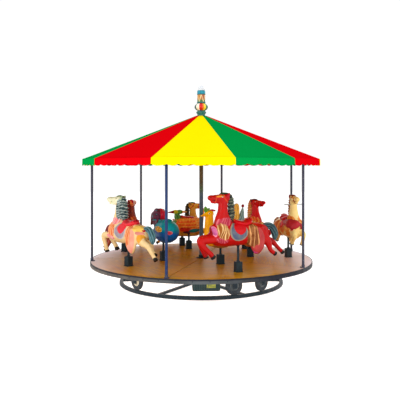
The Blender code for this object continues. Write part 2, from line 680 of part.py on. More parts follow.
RIDES = (
    # name, shapes, bearing, distance from the axis, yaw, belly height, size, paint
    ("red_horse", horse(), 23.0, 1.2375, 0.0, 0.700, 1.00, "red"),
    ("cream_pony", horse(look=14.0, lead=-1.0, reach=0.7), 93.2, 1.328, 10.0, 0.660, 0.94, "cream"),
    ("crimson_horse", horse(reach=0.7), 142.0, 1.200, 0.0, 0.570, 0.90, "red"),
    ("golden_horse", horse(), -166.0, 1.380, 0.0, 0.510, 0.86, "yellow"),
    ("brown_horse", horse(), -117.0, 1.388, 0.0, 0.590, 0.86, "brown"),
    ("cream_horse", horse(look=18.0, lead=-1.0), -55.0, 1.2305, 9.0, 0.663, 0.953, "cream"),
    ("yellow_rooster", rooster(), 27.0, 0.600, 0.0, 0.580, 1.00, "yellow"),
    ("peach_bird", round_bird(), 99.0, 0.760, 0.0, 0.500, 0.90, "orange"),
    ("orange_bird", ruffled_bird(), -167.6, 0.970, 0.0, 0.613, 1.00, "orange"),
    ("blue_bird", round_bird(), -66.7, 0.605, 0.0, 0.626, 1.05, "blue"),
)


def main():
    clear_scene()
    paints = {
        "steel": material("slate_steel", (0.045, 0.055, 0.065), 0.45, 0.6),
        "blue_steel": material("blue_steel", (0.03, 0.07, 0.16), 0.4, 0.5),
        "wood": material("varnished_plywood", (0.42, 0.19, 0.08), 0.35),
        "rubber": material("rubber", (0.03, 0.03, 0.03), 0.8),
        "green": material("motor_green", (0.03, 0.10, 0.05), 0.5),
        "cloth": material("canopy_cloth", (0.80, 0.01, 0.01), 0.6),
        "finial_red": material("finial_red", (0.60, 0.02, 0.03), 0.35),
        "finial_drum": material("finial_drum", (0.60, 0.25, 0.08), 0.4),
        "teal": material("teal", (0.02, 0.30, 0.32), 0.35),
        "lamp": material("lamp_white", (0.85, 0.85, 0.85), 0.25),
        "red": material("red_gloss", (0.65, 0.03, 0.02), 0.3),
        "cream": material("cream_gloss", (0.85, 0.75, 0.55), 0.3),
        "brown": material("brown_gloss", (0.30, 0.04, 0.03), 0.3),
        "orange": material("orange_gloss", (0.75, 0.20, 0.04), 0.3),
        "yellow": material("yellow_gloss", (0.80, 0.50, 0.06), 0.3),
        "blue": material("blue_gloss", (0.02, 0.14, 0.40), 0.3),
    }
    turntable = axis_empty("turntable_axis", (0.0, 0.0, 0.0))
    base_frame(paints["steel"])
    pivot_post(paints["steel"])
    fixed_to_deck = [
        platform_frame(paints["steel"]), deck(paints["wood"]), rim_band(paints["steel"]),
        motor_box(paints["green"]), centre_column(paints["steel"]), canopy_rafters(paints["steel"]),
        canopy_hoop("canopy_hoop", POST_CIRCLE, hoop_height(), paints["steel"]),
        canopy_hoop("canopy_edge", EDGE_CIRCLE, rafter_height(EDGE_CIRCLE) - EDGE_DROP, paints["steel"]),
        canopy_cover(paints["cloth"]), canopy_valance(paints["cloth"]), *finial(paints),
    ]
    for index, bearing in enumerate(POST_BEARINGS, start=1):
        fixed_to_deck.append(post(f"post_{index}", bearing, paints["blue_steel"]))
    for name, shapes, bearing, radius, yaw, belly, size, paint in RIDES:
        fixed_to_deck.append(animal(name, shapes, paints[paint], bearing, radius, yaw, belly, size))
        fixed_to_deck.append(mount(f"{name}_mount", bearing, radius, yaw, belly, paints["steel"]))
    names = [*(f"wheel_{index}" for index in range(1, 5)), "drive_wheel"]
    for name, bearing in zip(names, (*WHEEL_BEARINGS, DRIVE_BEARING)):
        axle = axis_empty(f"{name}_axis", radial(bearing, RING_RADIUS, AXLE_HEIGHT))
        under(axle, wheel(name, bearing, paints["rubber"]))
        under(turntable, axle)
    under(turntable, *fixed_to_deck)


main()
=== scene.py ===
"""The looks of a small fairground carousel: painted ride animals under a striped canopy.

Metres, +Z up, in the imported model's frame. A bearing is measured about +Z from the front (-Y)
towards +X. An animal is made facing +X with its left side towards +Y and its belly at Z = 0,
and is then turned and lifted to its place on the turntable.
"""

import math

import bmesh
import bpy
from mathutils import Matrix, Vector, noise
from mathutils.bvhtree import BVHTree


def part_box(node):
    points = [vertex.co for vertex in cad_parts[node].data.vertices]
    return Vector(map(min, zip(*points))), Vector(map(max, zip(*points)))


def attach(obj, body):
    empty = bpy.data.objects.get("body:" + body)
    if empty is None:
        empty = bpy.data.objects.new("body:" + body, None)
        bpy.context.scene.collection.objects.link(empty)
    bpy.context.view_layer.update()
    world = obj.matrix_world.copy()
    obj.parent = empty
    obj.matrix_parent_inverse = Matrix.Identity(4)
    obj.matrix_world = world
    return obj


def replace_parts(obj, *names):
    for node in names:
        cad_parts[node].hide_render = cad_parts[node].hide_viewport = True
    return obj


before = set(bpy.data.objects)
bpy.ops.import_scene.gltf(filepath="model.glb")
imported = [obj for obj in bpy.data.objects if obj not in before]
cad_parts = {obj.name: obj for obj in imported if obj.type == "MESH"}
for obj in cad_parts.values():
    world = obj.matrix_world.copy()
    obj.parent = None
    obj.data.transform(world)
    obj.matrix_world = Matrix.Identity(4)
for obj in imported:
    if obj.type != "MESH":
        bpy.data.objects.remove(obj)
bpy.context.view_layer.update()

# The photograph's camera
FRAME_PIXELS = 400
FOCAL_PIXELS = 567.7
HORIZON_PIXEL = 166.0
CENTRE_PIXEL = 201.25
EYE = (0.0, -8.58, 1.74)

# Driving dimensions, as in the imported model
DECK_RADIUS = 1.65
DECK_TOP = 0.353
DECK_THICKNESS = 0.018
RING_RADIUS = 1.197
AXLE_HEIGHT = 0.1643
WHEEL_RADIUS = 0.118
WHEEL_WIDTH = 0.050
WHEEL_BEARINGS = {
    "wheel_1": -47.0, "wheel_2": 43.0, "wheel_3": 133.0, "wheel_4": -137.0, "drive_wheel": 21.0,
}
# These wheels get cream hubs and red caps, the rest grey hubs and caps.
CREAM_HUB_WHEELS = ("wheel_1", "wheel_4")
MOTOR_BEARING = 3.0
POST_CIRCLE = 1.622
POST_FOOT_TOP = DECK_TOP + 0.008
POST_BEARINGS = (-140.0, -80.0, -15.4, 59.0, 115.0, 167.0)
FRONT_POST = "post_3"
BOARD_JOINTS = (-140.0, -90.0, -15.4, 59.0, 115.0, 167.0)
SOCKET_TOP = DECK_TOP + 0.1353
CANOPY_APEX = 2.530
CANOPY_FOLD = 1.842
CANOPY_BOTTOM = 1.742
CANOPY_RADIUS = 1.760
FRONT_SEAMS = (-53.7, -20.4, 13.7, 43.2)
SEAM_COUNT = 12

# Looks shared by several functions
SKIN_VOXEL = 0.010
TONE_SWELL = 0.16
MIDDLE_TONE = 0.5
UP = Vector((0.0, 0.0, 1.0))


def srgb(code):
    """A screen colour's hexadecimal code as the linear values that a shader takes."""
    values = [int(code[index:index + 2], 16) for index in (0, 2, 4)]
    return tuple(((value / 255 + 0.055) / 1.055) ** 2.4 for value in values)


def scaled(colour, share):
    return tuple(share * value for value in colour)


def radial(bearing, radius, height=0.0):
    """The point at this bearing from the front, this far from the axis."""
    turn = math.radians(bearing)
    return Vector((radius * math.sin(turn), -radius * math.cos(turn), height))


def outward(bearing):
    """A turn about +Z that carries +X to the outward direction at this bearing."""
    return Matrix.Rotation(math.radians(bearing - 90.0), 4, "Z")


def seam_bearings():
    """Where the canopy's panels meet: the four front seams, and the rest spread evenly round the back."""
    rest = SEAM_COUNT - len(FRONT_SEAMS)
    step = (360.0 - FRONT_SEAMS[-1] + FRONT_SEAMS[0]) / (rest + 1)
    return FRONT_SEAMS + tuple(FRONT_SEAMS[-1] + step * (index + 1) for index in range(rest))


# Materials

class Paint:
    """A material under way: its node tree and its Principled shader."""

    def __init__(self, name, metallic=0.0, coat=0.0, specular=0.3):
        self.material = bpy.data.materials.new(name)
        self.material.use_nodes = True
        self.tree = self.material.node_tree
        self.shader = self.tree.nodes["Principled BSDF"]
        self.preset("Metallic", metallic)
        self.preset("Coat Weight", coat)
        self.preset("Coat Roughness", 0.12)
        self.preset("Specular IOR Level", specular)

    def preset(self, key, value):
        self.shader.inputs[key].default_value = value

    def node(self, kind, inputs=(), **settings):
        """The outputs of a node with these settings, and with values or links on its inputs."""
        made = self.tree.nodes.new("ShaderNode" + kind)
        for key, value in settings.items():
            setattr(made, key, value)
        for key, value in dict(inputs).items():
            if isinstance(value, bpy.types.NodeSocket):
                self.tree.links.new(value, made.inputs[key])
            else:
                made.inputs[key].default_value = value
        return made.outputs

    def place(self):
        return self.node("TexCoord")["Object"]

    def attribute(self, name, output="Fac"):
        return self.node("Attribute", attribute_name=name)[output]

    def maths(self, operation, first, second=0.0):
        return self.node("Math", {0: first, 1: second}, operation=operation)[0]

    def noise(self, where, scale, detail=4.0, distortion=0.0):
        inputs = {"Vector": where, "Scale": scale, "Detail": detail, "Distortion": distortion}
        return self.node("TexNoise", inputs)[0]

    def ranged(self, value, low, high, new_low, new_high):
        return self.node("MapRange", {0: value, 1: low, 2: high, 3: new_low, 4: new_high})[0]

    def mixed(self, factor, *colours):
        """One colour blended into another."""
        ends = [value if isinstance(value, bpy.types.NodeSocket) else (*value, 1.0) for value in colours]
        return self.node("Mix", {0: factor, 6: ends[0], 7: ends[1]}, data_type="RGBA")[2]

    def coats(self, colour, *rows):
        """Coats over a colour: each a field, its start and end, how strong it gets and its own colour."""
        for field, low, high, strength, over in rows:
            colour = self.mixed(self.ranged(field, low, high, 0.0, strength), colour, over)
        return colour

    def finish(self, colour, roughness, height, depth):
        """The material with its colour, its roughness and a bump of this depth in metres."""
        self.tree.links.new(colour, self.shader.inputs["Base Color"])
        self.tree.links.new(roughness, self.shader.inputs["Roughness"])
        bump = self.node("Bump", {"Height": height, "Distance": depth, "Strength": 0.6})
        self.tree.links.new(bump[0], self.shader.inputs["Normal"])
        return self.material


def enamel(name, dark, light, roughness=0.34, mottle=0.5):
    """Brushed gloss paint. The attribute tone mixes its dark and light colour: painted shade in hollows and
    grooves and on downward faces, painted light on ridges and upward faces, and on a few pieces a pattern's
    own two colours.
    """
    paint = Paint(name, coat=0.08, specular=0.1)
    dark, light = srgb(dark), srgb(light)
    where = paint.place()
    cloud = paint.noise(where, 14.0, 5.0, 0.4)
    fleck = paint.noise(where, 70.0, 3.0)
    shift = paint.ranged(cloud, 0.3, 0.7, -0.5 * mottle, 0.5 * mottle)
    level = paint.node("Clamp", {0: paint.maths("ADD", paint.attribute("tone"), shift)})[0]
    colour = paint.coats(paint.mixed(level, dark, light), (fleck, 0.66, 0.72, 0.35, scaled(dark, 0.45)))
    rough = paint.ranged(cloud, 0.3, 0.7, roughness - 0.07, roughness + 0.12)
    return paint.finish(colour, rough, paint.maths("ADD", cloud, paint.maths("MULTIPLY", fleck, 0.3)), 0.002)


def steel_paint(name, base, worn, roughness=0.42, metallic=0.15):
    """Paint on steel, scuffed through in small patches."""
    paint = Paint(name, metallic, 0.05, 0.15)
    base, worn = srgb(base), srgb(worn)
    where = paint.place()
    cloud = paint.noise(where, 3.5, 6.0, 0.6)
    scuff = paint.noise(where, 38.0, 6.0, 0.3)
    dusty = tuple(0.6 * first + 0.4 * second for first, second in zip(base, worn))
    colour = paint.coats(base, (cloud, 0.42, 0.72, 0.55, dusty), (scuff, 0.62, 0.68, 0.8, worn))
    rough = paint.ranged(scuff, 0.35, 0.7, roughness - 0.08, roughness + 0.2)
    return paint.finish(colour, rough, scuff, 0.0012)


def rim_paint(name):
    """Dark paint on the rim, mottled, with a darker top edge; painted light makes it a pale brownish grey
    towards -X and painted shade makes it near black towards +X.
    """
    paint = Paint(name, coat=0.03, specular=0.12)
    where = paint.place()
    across, _, height = paint.node("SeparateXYZ", {0: where})
    cloud = paint.noise(where, 5.0, 5.0, 0.5)
    # Painted light and shade across the rim: pale brownish grey at -X, grey in the middle, near black
    # towards +X; then a random dusty mottle and the darker top edge.
    colour = paint.coats(
        srgb("685e54"), (across, -1.5, -0.3, 1.0, srgb("54585a")), (across, 0.1, 0.9, 1.0, srgb("1a1c28")),
        (cloud, 0.4, 0.7, 0.5, srgb("302e30")),
        (height, DECK_TOP - 0.024, DECK_TOP - DECK_THICKNESS, 0.9, srgb("1e1e26")),
    )
    return paint.finish(colour, paint.ranged(cloud, 0.3, 0.7, 0.4, 0.6), cloud, 0.001)


def column_paint(name):
    """Brown paint at the top of the column and slate below, mottled where they meet."""
    paint = Paint(name, coat=0.05, specular=0.15)
    where = paint.place()
    height = paint.node("SeparateXYZ", {0: where})[2]
    cloud = paint.noise(where, 4.0, 5.0, 0.5)
    level = paint.maths("ADD", height, paint.maths("MULTIPLY", cloud, 0.10))
    colour = paint.coats(
        srgb("4a5866"), (level, 1.36, 1.44, 1.0, srgb("546238")), (level, 1.46, 1.54, 1.0, srgb("5c4822")),
        (cloud, 0.45, 0.7, 0.5, srgb("3a3846")),
    )
    return paint.finish(colour, paint.ranged(cloud, 0.3, 0.7, 0.35, 0.5), cloud, 0.0008)


def canvas(name, code):
    """Coated canopy cloth: a fine weave, faint dust, and stitches beside seam and hem.

    The attribute edge holds each point's distance from the nearest seam or hem.
    """
    paint = Paint(name, specular=0.0)
    colour = srgb(code)
    where = paint.place()
    inputs = {"Vector": where, "Scale": 160.0}
    weave = paint.maths("MULTIPLY", *(paint.node("TexWave", inputs, bands_direction=way)[1] for way in "XY"))
    aside = paint.maths("ABSOLUTE", paint.maths("SUBTRACT", paint.attribute("edge"), 0.012))
    stitch = paint.maths("LESS_THAN", aside, 0.0016)
    shade = paint.coats(colour, (paint.noise(where, 2.2, 5.0, 0.3), 0.35, 0.75, 0.10, scaled(colour, 0.72)))
    shade = paint.mixed(paint.maths("MULTIPLY", stitch, 0.3), shade, scaled(colour, 0.55))
    dent = paint.maths("MULTIPLY", stitch, 0.8)
    height = paint.maths("SUBTRACT", paint.maths("MULTIPLY", weave, 0.25), dent)
    return paint.finish(shade, paint.ranged(weave, 0.0, 1.0, 0.8, 0.92), height, 0.0015)


def plywood(name):
    """Varnished plywood, with a painted reflection of the white room, pale pink, towards its left, right and
    back edges: the attribute grain holds each board's own coordinates, and reach how far out a point is."""
    paint = Paint(name, specular=0.04)
    where = paint.attribute("grain", "Vector")
    figure = paint.noise(paint.node("Mapping", {0: where, 3: (1.1, 9.0, 1.0)})[0], 2.6, 7.0, 1.2)
    fine = paint.noise(paint.node("Mapping", {0: where, 3: (6.0, 120.0, 1.0)})[0], 2.0, 3.0)
    blotch = paint.noise(where, 1.6, 4.0, 0.5)
    colour = paint.coats(
        srgb("9a6208"), (figure, 0.32, 0.68, 1.0, srgb("d69c24")), (fine, 0.35, 0.75, 0.45, srgb("74420e")),
        (blotch, 0.4, 0.75, 0.5, srgb("cc6c14")),
    )
    # Painted reflection: the boards turn pale pink towards the sides and back, broken up by the blotches.
    out = paint.ranged(paint.attribute("reach"), 0.58, 0.96, 0.0, 0.95)
    painted_reflection = paint.maths("MULTIPLY", out, paint.ranged(blotch, 0.3, 0.6, 0.7, 1.0))
    colour = paint.mixed(painted_reflection, colour, srgb("e2ced2"))
    return paint.finish(colour, paint.ranged(figure, 0.3, 0.7, 0.28, 0.46), fine, 0.0008)


def rubber(name):
    paint = Paint(name)
    cloud = paint.noise(paint.place(), 22.0, 5.0)
    colour = paint.coats(srgb("20262c"), (cloud, 0.4, 0.7, 0.8, srgb("40464c")))
    return paint.finish(colour, paint.ranged(cloud, 0.3, 0.7, 0.65, 0.9), cloud, 0.001)


def milky(name):
    """The lamp's frosted dome."""
    paint = Paint(name, coat=0.3)
    cloud = paint.noise(paint.place(), 30.0)
    colour = paint.coats(srgb("ced2d8"), (cloud, 0.3, 0.7, 1.0, srgb("e4e8ee")))
    paint.preset("Subsurface Weight", 0.4)
    paint.preset("Subsurface Radius", (0.02, 0.02, 0.02))
    return paint.finish(colour, paint.ranged(cloud, 0.3, 0.7, 0.2, 0.35), cloud, 0.0005)


def painted_by_point(name):
    """Gloss paint in several colours, from the colour attribute paint."""
    paint = Paint(name, coat=0.3)
    own = paint.attribute("paint", "Color")
    cloud = paint.noise(paint.place(), 40.0, 5.0)
    colour = paint.coats(own, (cloud, 0.5, 0.8, 0.5, paint.mixed(0.5, own, (0.0, 0.0, 0.0))))
    return paint.finish(colour, paint.ranged(cloud, 0.3, 0.7, 0.25, 0.45), cloud, 0.001)


# Mesh helpers

def made_from(bm, name, material, smooth=True, sharp=50.0):
    mesh = bpy.data.meshes.new(name)
    bm.to_mesh(mesh)
    bm.free()
    mesh.materials.append(material)
    if smooth:
        mesh.shade_smooth()
        mesh.set_sharp_from_angle(angle=math.radians(sharp))
    made = bpy.data.objects.new(name, mesh)
    bpy.context.collection.objects.link(made)
    return made


def done(bm, name, material, body="platform", sharp=50.0):
    """A finished piece that rides on a body."""
    bmesh.ops.recalc_face_normals(bm, faces=bm.faces)
    made = made_from(bm, name, material, sharp=sharp)
    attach(made, body)
    return made


def new_bm():
    bm = bmesh.new()
    bm.verts.layers.float.new("tone")
    return bm


def set_tone(bm, verts, value):
    layer = bm.verts.layers.float["tone"]
    for vert in verts:
        vert[layer] = value


def smooth_rows(rows, steps):
    """Rows of numbers on a smooth curve through all the given ones."""
    rows = [Vector(row) for row in rows]
    found = []
    for index, (start, end) in enumerate(zip(rows, rows[1:])):
        before = rows[max(index - 1, 0)]
        after = rows[min(index + 2, len(rows) - 1)]
        for step in range(steps):
            t = step / steps
            linear = (end - before) * t
            square = (2 * before - 5 * start + 4 * end - after) * t * t
            cube = (3 * start - before - 3 * end + after) * t ** 3
            found.append(0.5 * (2 * start + linear + square + cube))
    return found + [rows[-1]]


def bridged(bm, rings, closed=False, capped=False):
    """Faces between each ring of vertices and the next, and over the open ends if they are capped."""
    for first, second in zip(rings, rings[1:] + (rings[:1] if closed else [])):
        for corner in range(len(first)):
            after = (corner + 1) % len(first)
            bm.faces.new((first[corner], first[after], second[after], second[corner]))
    if capped:
        bm.faces.new(rings[0][::-1])
        bm.faces.new(rings[-1])


def loft(bm, stations, sides=16, steps=4, groove=None):
    """A closed smooth tube through (x, y, z, half width, half height) stations.

    groove(t, turn) swells or pinches it and sets its tone: painted shade where it pinches and painted light
    where it swells, which on manes and tails also draws their pale streaks.
    """
    layer = bm.verts.layers.float["tone"]
    rows = smooth_rows(stations, steps)
    rings = []
    for index, row in enumerate(rows):
        ahead = rows[min(index + 1, len(rows) - 1)]
        behind = rows[max(index - 1, 0)]
        along = Vector((ahead - behind)[:3]).normalized()
        side = (Vector((0.0, 1.0, 0.0)) - along * along.y).normalized()
        rise = along.cross(side)
        ring = []
        for corner in range(sides):
            turn = math.tau * corner / sides
            swell = groove(index / (len(rows) - 1), turn) if groove else 0.0
            reach = 1.0 + TONE_SWELL * swell
            offset = side * (row[3] * math.cos(turn) * reach) + rise * (row[4] * math.sin(turn) * reach)
            vert = bm.verts.new(Vector(row[:3]) + offset)
            vert[layer] = 0.5 + 0.5 * swell
            ring.append(vert)
        rings.append(ring)
    bridged(bm, rings, capped=True)


def limb(*rows):
    """A loft's stations from (x, y, z, half width, half height) rows in millimetres."""
    return [tuple(value / 1000 for value in row) for row in rows]


def spine(*rows):
    """A loft's stations on the middle plane, from (x, z, half width, half height) rows in millimetres."""
    return limb(*((x, 0.0, *rest) for x, *rest in rows))


def mirrored(stations):
    return [(x, -y, *rest) for x, y, *rest in stations]


def turned(stations, turn):
    return [(*(turn @ Vector(station[:3])), *station[3:]) for station in stations]


def swollen(stations, by, drop=0.0):
    """The same stations made thicker by this much all round."""
    return [(x, y, z - drop, wide + by, tall + by) for x, y, z, wide, tall in stations]


def fused(name, lofts, material, voxel=SKIN_VOXEL, tone=None):
    """One skin over all the lofts, with every join rounded off, toned by tone(place, normal)."""
    bm = new_bm()
    for stations in lofts:
        loft(bm, stations, 14, 3)
    bmesh.ops.recalc_face_normals(bm, faces=bm.faces)
    made = made_from(bm, name, material)
    remesh = made.modifiers.new("skin", "REMESH")
    remesh.mode = "VOXEL"
    remesh.voxel_size = voxel
    soften = made.modifiers.new("soften", "SMOOTH")
    soften.factor = 0.5
    soften.iterations = 3
    graph = bpy.context.evaluated_depsgraph_get()
    mesh = bpy.data.meshes.new_from_object(made.evaluated_get(graph))
    made.modifiers.clear()
    made.data = mesh
    if not mesh.materials:
        mesh.materials.append(material)
    mesh.shade_smooth()
    levels = mesh.attributes.new("tone", "FLOAT", "POINT")
    levels.data.foreach_set("value", [tone(vert.co, vert.normal) for vert in mesh.vertices])
    return made


def skin_of(made, turn=Matrix.Identity(4)):
    """What rays can hit: the surface of a finished skin, carried by a turn."""
    points = [turn @ vert.co for vert in made.data.vertices]
    return BVHTree.FromPolygons(points, [face.vertices for face in made.data.polygons])


def oval(x, z, half_x, half_z, tilt=0.0, tip=0.0, frill=0.0):
    """An (x, z) outline from an oval in millimetres, drawn out downwards by tip and with a frill's lobes."""
    x, z, half_x, half_z = (value / 1000 for value in (x, z, half_x, half_z))
    count = 72
    found = []
    cosine, sine = math.cos(math.radians(tilt)), math.sin(math.radians(tilt))
    for index in range(count):
        turn = math.tau * index / count
        lobe = 1.0 + frill * math.cos(12.0 * turn)
        across = half_x * lobe * math.cos(turn)
        up = half_z * lobe * math.sin(turn)
        if up < 0.0:
            across *= 1.0 - tip * (up / half_z) ** 2
            up *= 1.0 + tip
        found.append((x + across * cosine - up * sine, z + across * sine + up * cosine))
    return found


def relief(bm, skin, outline, lift, pattern=None, sides=(1, -1), rings=13, depth=0.005, aim=0.0):
    """A crowned patch on the skin's sides within an (x, z) outline.

    pattern(u, v, f) gives -1 to 1 for a point u along and v up from the middle, f of the way out.
    The patch is seen square from the side, or from aim degrees round from there.
    """
    beside = 0.7
    near = 0.08
    inmost = 0.04
    sunk = 0.003
    view = Matrix.Rotation(math.radians(aim), 3, "Z")
    layer = bm.verts.layers.float["tone"]
    middle_x, middle_z = (sum(values) / len(outline) for values in zip(*outline))
    for side in sides:
        loops = []
        for ring in range(rings + 1):
            f = inmost + (1.0 - inmost) * ring / rings
            loop = []
            for x, z in outline:
                u = (x - middle_x) * f
                v = (z - middle_z) * f
                start = view @ Vector((middle_x + u, side * beside, middle_z + v))
                hit, normal, _, _ = skin.ray_cast(start, view @ Vector((0.0, -side, 0.0)), beside + 0.02)
                if hit is None:
                    inside = view @ Vector((middle_x + u, side * near, middle_z + v))
                    hit, normal, _, _ = skin.find_nearest(inside)
                swell = pattern(u, v, f) if pattern else 0.0
                height = lift * (1.0 - f ** 6) - sunk * f ** 6 + depth * swell * (1.0 - f ** 4)
                vert = bm.verts.new(hit + normal * height)
                # The tone follows the pattern: painted shade in its grooves and under each feather tip,
                # painted light on its ridges; a bordered pattern's pale rim is the paint's own colour.
                vert[layer] = 0.5 + 0.5 * swell
                loop.append(vert)
            loops.append(loop)
        for first, second in zip(loops, loops[1:]):
            for corner in range(len(first)):
                after = (corner + 1) % len(first)
                quad = (first[corner], second[corner], second[after], first[after])
                bm.faces.new(quad if side < 0 else quad[::-1])
        bm.faces.new(loops[0] if side < 0 else loops[0][::-1])


def strap(bm, skin, middle, facing, reach):
    """A harness band that hugs the skin round middle, in the plane that looks along facing."""
    count = 44
    width = 0.014
    lift = 0.004
    sunk = -0.002
    section = ((-0.5, sunk), (-0.5, lift * 0.7), (-0.35, lift), (0.35, lift), (0.5, lift * 0.7), (0.5, sunk))
    layer = bm.verts.layers.float["tone"]
    middle = Vector(middle)
    facing = Vector(facing).normalized()
    first = Vector((0.0, 1.0, 0.0))
    second = facing.cross(first)
    loops = []
    for index in range(count):
        turn = math.tau * index / count
        out = first * math.cos(turn) + second * math.sin(turn)
        hit, _, _, _ = skin.ray_cast(middle + out * reach, -out, reach)
        hit = hit if hit is not None else middle + out * 0.03
        loop = []
        for across, up in section:
            vert = bm.verts.new(hit + facing * (across * width) + out * up)
            # A tone a little above the middle: painted light on the raised band.
            vert[layer] = 0.6
            loop.append(vert)
        loops.append(loop)
    bridged(bm, loops, closed=True)


def bead(bm, centre, radius, tone=MIDDLE_TONE, squash=(1.0, 1.0, 1.0)):
    """A small ball."""
    made = bmesh.ops.create_uvsphere(bm, u_segments=14, v_segments=8, radius=1.0)
    place = Matrix.Translation(centre) @ Matrix.Diagonal((*scaled(squash, radius), 1.0))
    bmesh.ops.transform(bm, matrix=place, verts=made["verts"])
    set_tone(bm, made["verts"], tone)


def rod(bm, start, end, radius, sides=12, tone=MIDDLE_TONE, end_radius=None):
    start = Vector(start)
    run = Vector(end) - start
    place = Matrix.Translation(start + run / 2) @ run.to_track_quat("Z", "Y").to_matrix().to_4x4()
    made = bmesh.ops.create_cone(
        bm, cap_ends=True, segments=sides, radius1=radius, radius2=end_radius or radius,
        depth=run.length, matrix=place,
    )
    set_tone(bm, made["verts"], tone)


def slab(bm, size, place, bevel=0.002, tone=MIDDLE_TONE):
    """A box with softened edges."""
    made = bmesh.ops.create_cube(bm, size=1.0, matrix=Matrix.Diagonal((*size, 1.0)))
    edges = list({edge for vert in made["verts"] for edge in vert.link_edges})
    softened = bmesh.ops.bevel(bm, geom=edges, offset=bevel, segments=2, affect="EDGES", profile=0.5)
    verts = list({vert for face in softened["faces"] for vert in face.verts})
    bmesh.ops.transform(bm, matrix=place, verts=verts)
    set_tone(bm, verts, tone)


def spun(bm, profile, sides, place, ring=True):
    """A (radius, height) profile turned about the axis of place, closed as a ring or capped at its ends."""
    loops = []
    for radius, height in profile:
        turns = [math.tau * index / sides for index in range(sides)]
        points = [Vector((radius * math.cos(turn), radius * math.sin(turn), height)) for turn in turns]
        loops.append([bm.verts.new(place @ point) for point in points])
    bridged(bm, loops, closed=ring, capped=not ring)
    set_tone(bm, [vert for loop in loops for vert in loop], MIDDLE_TONE)


def bolt(bm, centre, axis, radius, height):
    """A hexagon head on a washer."""
    centre = Vector(centre)
    axis = Vector(axis)
    rod(bm, centre, centre + axis * 0.0015, radius * 1.5, 14)
    # The head's tone of 0.7, lighter than the washer's, is a painted highlight where enamel takes it.
    rod(bm, centre, centre + axis * height, radius, 6, tone=0.7)


# Canopy

def canopy_height(radius):
    return CANOPY_APEX - radius * (CANOPY_APEX - CANOPY_FOLD) / CANOPY_RADIUS


def canopy_cloth():
    """One sheet: a cone that sags between its rafters, a rounded fold and a scalloped valance."""
    columns = 36
    cone_rows = 30
    fold_rows = 5
    hem_rows = 8
    crown = 0.078
    fold = 0.014
    sunk = 0.001
    deepest_sag = 0.013
    scallops = 6.0
    colours = {"red": "d6000c", "yellow": "fae600", "green": "009242"}
    cloths = [canvas(f"{name}_canvas", code) for name, code in colours.items()]
    seams = seam_bearings()
    bend = math.pi / 2 - math.atan2(CANOPY_APEX - CANOPY_FOLD, CANOPY_RADIUS)
    bm = bmesh.new()
    edge_layer = bm.verts.layers.float.new("edge")
    lines = []
    for number, (start, end) in enumerate(zip(seams, (*seams[1:], seams[0] + 360.0))):
        for column in range(columns):
            u = column / columns
            bearing = start + (end - start) * u
            beside = min(u, 1.0 - u) * math.radians(end - start)
            hang = 4.0 * u * (1.0 - u)
            line = []
            for row in range(cone_rows):
                radius = crown + (CANOPY_RADIUS - fold - crown) * row / (cone_rows - 1)
                share = radius / CANOPY_RADIUS
                sag = deepest_sag * hang * math.sin(math.pi * min(1.0, share * 0.93)) ** 0.8
                ripple = 0.0022 * noise.noise(Vector((bearing * 0.35, radius * 2.0, number * 7.1))) * share
                height = canopy_height(radius) - sunk - sag + ripple
                line.append((radial(bearing, radius, height), beside * radius))
            for step in range(1, fold_rows + 1):
                turn = bend * step / fold_rows
                radius = CANOPY_RADIUS - fold + fold * math.sin(turn) / math.sin(bend)
                height = canopy_height(CANOPY_RADIUS - fold) - sunk - fold * (1.0 - math.cos(turn))
                line.append((radial(bearing, radius, height), beside * radius))
            top = line[-1][0].z
            phase = scallops * u + 0.30 * noise.noise(Vector((bearing * 0.11, 5.0, 1.0)))
            scallop = abs(math.sin(math.pi * phase)) ** 0.8
            deep = 0.022 + 0.012 * noise.noise(Vector((bearing * 0.07, 1.0, 9.0)))
            bottom = CANOPY_BOTTOM + deep * (1.0 - scallop) + 0.002
            for step in range(1, hem_rows + 1):
                z = top + (bottom - top) * step / hem_rows
                flutter = 0.006 * noise.noise(Vector((bearing * 0.12, 3.0, z * 4.0))) * step / hem_rows
                flare = 0.003 * step / hem_rows
                aside = min(beside * CANOPY_RADIUS, z - bottom)
                line.append((radial(bearing, CANOPY_RADIUS + flare + flutter, z), aside))
            made = []
            for point, aside in line:
                vert = bm.verts.new(point)
                vert[edge_layer] = aside
                made.append(vert)
            lines.append((made, number % len(cloths)))
    for (first, panel), (second, _) in zip(lines, lines[1:] + lines[:1]):
        for row in range(len(first) - 1):
            face = bm.faces.new((first[row], first[row + 1], second[row + 1], second[row]))
            face.material_index = panel
    bmesh.ops.recalc_face_normals(bm, faces=bm.faces)
    made = made_from(bm, "canopy_cloth", cloths[0], sharp=180.0)
    for cloth in cloths[1:]:
        made.data.materials.append(cloth)
    thick = made.modifiers.new("cloth", "SOLIDIFY")
    thick.thickness = 0.0012
    thick.offset = -1.0
    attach(made, "platform")
    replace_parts(made, "canopy_cover", "canopy_valance")


